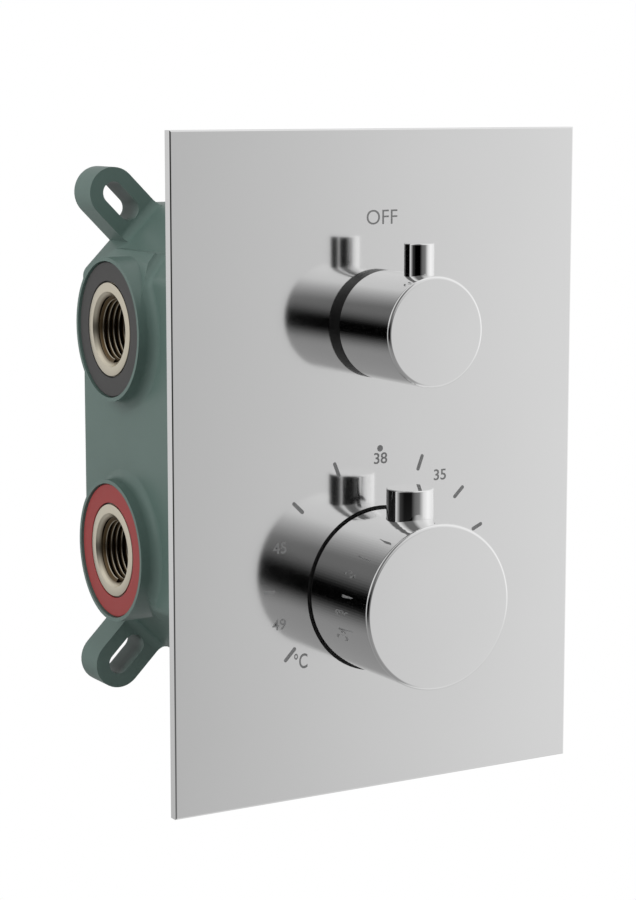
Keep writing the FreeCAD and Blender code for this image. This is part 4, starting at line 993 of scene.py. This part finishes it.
@dataclass(frozen=True)
class KnobShell:
    """Hollow chromed knob turned about Y, with a soft front edge and a bored hub."""

    node: str
    body: str
    wall: float
    hub_radius: float
    holes: tuple[Socket, ...]
    guide: Socket | None = None
    front_round: float = 1.0
    front_wall: float = 3.0
    hub_open: float = -110.0
    nose_radius: float = 5.55
    nose_length: float = 14.0
    steps: int = 192
    round_steps: int = 10

    def outline(self, front: float, back: float, radius: float) -> list[tuple[float, float]]:
        """Gives the knob's section.

        Args:
            front: End face along Y.
            back: Open end along Y.
            radius: Outer radius.

        Returns:
            Points as (distance along Y, radius).
        """
        points = [(front, 0.0)]
        for step in range(self.round_steps + 1):
            angle = math.pi / 2 * step / self.round_steps
            points.append((front + self.front_round * (1 - math.cos(angle)),
                           radius - self.front_round * (1 - math.sin(angle))))
        inside = front + self.front_wall
        nose = self.hub_open - self.nose_length
        return points + [
            (back, radius), (back, radius - self.wall), (inside, radius - self.wall),
            (inside, self.hub_radius), (self.hub_open, self.hub_radius),
            (self.hub_open, self.nose_radius), (nose, self.nose_radius), (nose, 0.0),
        ]

    def build(self, paint: Paint) -> None:
        """Turns the knob in its node's space and bores its holes."""
        low, high = (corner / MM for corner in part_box(self.node))
        axis_z = (low.z + high.z) / 2
        radius = (high.x - low.x) / 2
        shell = Bench.turned(self.outline(low.y, high.y, radius), self.steps, f"{self.node}_turned")
        Bench.settle(shell, (0, 0, axis_z), (0.0, 0.0, 90.0))
        if self.guide:
            Bench.combine(shell, self.guide.rod(axis_z), "UNION")
        for hole in self.holes:
            Bench.combine(shell, hole.rod(axis_z), "DIFFERENCE")
        Bench.even_shading(shell, 30.0)
        paint.dress_piece(shell, "polished_chrome")
        Bench.hand_over(shell, self.body, "polished_chrome", self.node)


PIN_Y = -122.8
BUTTON_Y = -118.6
GRUB_HOLE_Y = -114.5
KNOBS = [
    KnobShell("flow_knob", "flow_control", 2.0, 8.0,
              (Socket(3.05, PIN_Y, 6.5, 18.0), Socket(2.0, GRUB_HOLE_Y, -18.0, -5.5))),
    KnobShell("temperature_knob", "temperature_control", 2.2, 9.0,
              (Socket(7.05, BUTTON_Y, 18.6, 26.0), Socket(3.05, BUTTON_Y, 16.0, 20.0),
               Socket(2.0, GRUB_HOLE_Y, -26.0, -5.5)),
              guide=Socket(8.65, BUTTON_Y, 17.0, 23.0)),
]


# ---- springs --------------------------------------------------------------------


@dataclass(frozen=True)
class CoilSpring:
    """A coil spring that fills the space of its node."""

    node: str
    body: str
    axis: Axis
    wire: float
    turns: int
    sides: int = 10
    steps: int = 32

    def build(self, paint: Paint) -> None:
        """Winds the spring between the ends of its node's space."""
        low, high = (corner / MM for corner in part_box(self.node))
        middle = (low + high) / 2
        number = "XYZ".index(self.axis.value)
        across = (number + 1) % 3
        outer = (high[across] - low[across]) / 2
        mean = outer - self.wire / 2
        length = high[number] - low[number]
        pitch = (length - self.wire) / self.turns
        profile = []
        for side in range(self.sides):
            angle = TURN * side / self.sides
            profile.append((mean + self.wire / 2 * math.cos(angle), self.wire / 2 * math.sin(angle)))
        coil = Bench.wound(profile, pitch, self.turns, self.steps, f"{self.node}_coil")
        start = middle.copy()
        start[number] = low[number] + self.wire / 2
        turn = {Axis.X: (0.0, 90.0, 0.0), Axis.Y: (-90.0, 0.0, 0.0), Axis.Z: (0.0, 0.0, 0.0)}[self.axis]
        Bench.settle(coil, tuple(start), turn)
        Bench.smooth(coil, 50.0)
        paint.dress_piece(coil, "spring_steel")
        Bench.hand_over(coil, self.body, "spring_steel", self.node)


SPRINGS = [
    CoilSpring("return_spring", "housing", Axis.Y, 1.3, 4),
    CoilSpring("overload_spring", "regulator", Axis.Y, 1.1, 3),
    CoilSpring("button_spring", "temperature_control", Axis.Z, 1.0, 5),
    CoilSpring("hot_check_spring", "housing", Axis.X, 0.7, 3),
    CoilSpring("cold_check_spring", "housing", Axis.X, 0.7, 3),
]


# ---- studio ---------------------------------------------------------------------


@dataclass
class Studio:
    """Camera, floor, lamps and the surroundings that the metal mirrors.

    Each list of tones gives the grey that metal mirrors by bearing in degrees, from straight in front
    towards +X: below the horizon, level with it and above it. The two edges are the elevations between them.
    """

    eye: tuple[float, float, float] = (-373.7, -700.7, 107.95)
    yaw: float = 30.45
    pitch: float = -8.53
    focal_pixels: float = 2372.8
    frame_pixels: float = 900.0
    sensor: float = 36.0
    floor_drop: float = 102.1
    plain: tuple[float, float, float] = (0.40, 0.405, 0.41)
    low_edge: tuple[float, float] = (-27.0, -8.0)
    high_edge: tuple[float, float] = (1.0, 18.0)
    low_tones: tuple[tuple[float, float], ...] = (
        (-180, 0.40), (-50, 0.25), (20, 0.33), (38, 0.76), (180, 0.40))
    level_tones: tuple[tuple[float, float], ...] = (
        (-180, 0.60), (-106, 0.70), (-82, 0.04), (-60, 0.0), (-25, 0.0), (-8, 0.13), (14, 0.20), (38, 0.78),
        (65, 1.0), (180, 0.60))
    high_tones: tuple[tuple[float, float], ...] = (
        (-180, 0.60), (-95, 0.80), (-66, 0.15), (-24, 0.15), (0, 0.65), (30, 0.74), (65, 0.95), (180, 0.60))

    def camera(self) -> None:
        """Places the camera at the photograph's point of view."""
        data = bpy.data.cameras.new("camera")
        data.sensor_width = self.sensor
        data.lens = self.focal_pixels / self.frame_pixels * self.sensor
        data.clip_start = 0.01
        data.clip_end = 20.0
        camera = bpy.data.objects.new("camera", data)
        camera.location = Vector(self.eye) * MM
        camera.rotation_euler = (math.radians(90 + self.pitch), 0, math.radians(-self.yaw))
        bpy.context.scene.collection.objects.link(camera)
        bpy.context.scene.camera = camera

    def floor(self) -> None:
        """Lays a pale floor under the object, white to the camera and not mirrored by the metal."""
        Bench.clear()
        bpy.ops.mesh.primitive_circle_add(vertices=96, radius=4.0, fill_type="NGON",
                                          location=(0, 0, -self.floor_drop * MM))
        ground = bpy.context.active_object
        ground.name = "floor"
        bpy.ops.object.transform_apply(location=True, rotation=True, scale=True)
        material = bpy.data.materials.new("pale_floor")
        material.use_nodes = True
        desk = NodeDesk(material.node_tree)
        path = desk.add("ShaderNodeLightPath")
        pale = desk.add("ShaderNodeBsdfDiffuse", {"Color": (0.8, 0.8, 0.8, 1)})
        white = desk.add("ShaderNodeEmission", {"Color": (1, 1, 1, 1), "Strength": 1.0})
        clear = desk.add("ShaderNodeBsdfTransparent")
        seen = desk.add("ShaderNodeMixShader", {
            0: path.outputs["Is Camera Ray"], 1: pale.outputs[0], 2: white.outputs[0]})
        mirrored = desk.add("ShaderNodeMixShader", {
            0: path.outputs["Is Glossy Ray"], 1: seen.outputs[0], 2: clear.outputs[0]})
        desk.add("ShaderNodeOutputMaterial", {"Surface": mirrored.outputs[0]})
        ground.data.materials.append(material)

    def surroundings(self) -> None:
        """Makes the world: white to the camera, plain light, and soft grey tones for the metal to mirror."""
        world = bpy.data.worlds.new("studio")
        world.use_nodes = True
        bpy.context.scene.world = world
        desk = NodeDesk(world.node_tree)
        path = desk.add("ShaderNodeLightPath")
        way = desk.add("ShaderNodeSeparateXYZ", {0: desk.add("ShaderNodeTexCoord").outputs["Generated"]})
        bearing = desk.maths("ARCTAN2", way.outputs[0], desk.times(way.outputs[1], -1.0))
        around = desk.maths("MULTIPLY_ADD", bearing, 1 / TURN, 0.5)
        bands = []
        for tones in (self.low_tones, self.level_tones, self.high_tones):
            band = desk.add("ShaderNodeValToRGB", {0: around})
            self.fill_ramp(band.color_ramp, [(0.5 + angle / 360, tone) for angle, tone in tones])
            bands.append(band.outputs[0])
        rise = self.between(desk, way.outputs[2], self.low_edge)
        lift = self.between(desk, way.outputs[2], self.high_edge)
        mirrored = desk.blend(lift, desk.blend(rise, bands[0], bands[1]), bands[2])
        plain = desk.blend(path.outputs["Is Glossy Ray"], (*self.plain, 1), mirrored)
        shown = desk.blend(path.outputs["Is Camera Ray"], plain, (1, 1, 1, 1))
        sky = desk.add("ShaderNodeBackground", {"Color": shown, "Strength": 1.0})
        desk.add("ShaderNodeOutputWorld", {"Surface": sky.outputs[0]})

    @staticmethod
    def between(desk: NodeDesk, height, angles: tuple[float, float]) -> bpy.types.NodeSocket:
        """Rises smoothly from 0 to 1 between two elevations.

        Args:
            desk: The world's nodes.
            height: Socket with the direction's Z.
            angles: Elevations in degrees.

        Returns:
            The share's socket.
        """
        low, high = (math.sin(math.radians(angle)) for angle in angles)
        node = desk.add("ShaderNodeMapRange", {"Value": height, "From Min": low, "From Max": high},
                        interpolation_type="SMOOTHSTEP")
        return node.outputs[0]

    @staticmethod
    def fill_ramp(ramp: bpy.types.ColorRamp, stops: list[tuple[float, float]]) -> None:
        """Puts grey stops on a colour ramp.

        Args:
            ramp: The ramp.
            stops: Pairs of (place from 0 to 1, grey).
        """
        while len(ramp.elements) > 1:
            ramp.elements.remove(ramp.elements[-1])
        ramp.elements[0].position = stops[0][0]
        ramp.elements[0].color = (*even(stops[0][1]), 1)
        for place, tone in stops[1:]:
            ramp.elements.new(place).color = (*even(tone), 1)

    def lamp(self, name: str, place: tuple[float, float, float], aim: tuple[float, float, float],
             size: float, power: float) -> None:
        """Adds a soft square lamp that metal doesn't mirror.

        Args:
            name: The lamp's name.
            place: Where it stands.
            aim: The point it faces.
            size: Its side.
            power: Its power in watts.
        """
        data = bpy.data.lights.new(name, "AREA")
        data.size = size * MM
        data.energy = power
        lamp = bpy.data.objects.new(name, data)
        lamp.location = Vector(place) * MM
        lamp.rotation_euler = (Vector(aim) - Vector(place)).to_track_quat("-Z", "Y").to_euler()
        lamp.visible_glossy = False
        bpy.context.scene.collection.objects.link(lamp)

    def build(self) -> None:
        """Sets up the whole studio."""
        self.camera()
        self.floor()
        self.surroundings()
        self.lamp("left_lamp", (-900, -250, 450), (0, -60, 0), 700, 5.9)
        self.lamp("top_lamp", (100, -500, 1000), (0, -60, 0), 900, 3.9)
        bpy.context.scene.view_settings.view_transform = "Standard"


def dress_nodes(paint: Paint) -> None:
    """Gives each carried-over node the finish that the record's slots name."""
    for entry in frame["record"]["subparts"]:
        paint.dress_node(entry["node"], entry["material_slot"])


def main() -> None:
    """Builds the studio and every piece in order."""
    paint = Paint()
    Studio().build()
    dress_nodes(paint)
    Dial().build(paint)
    PortNipple().build(paint)
    MarkerRing().build(paint)
    for knob in KNOBS:
        knob.build(paint)
    for spring in SPRINGS:
        spring.build(paint)
    Bench.clear()


if __name__ == "__main__":
    main()
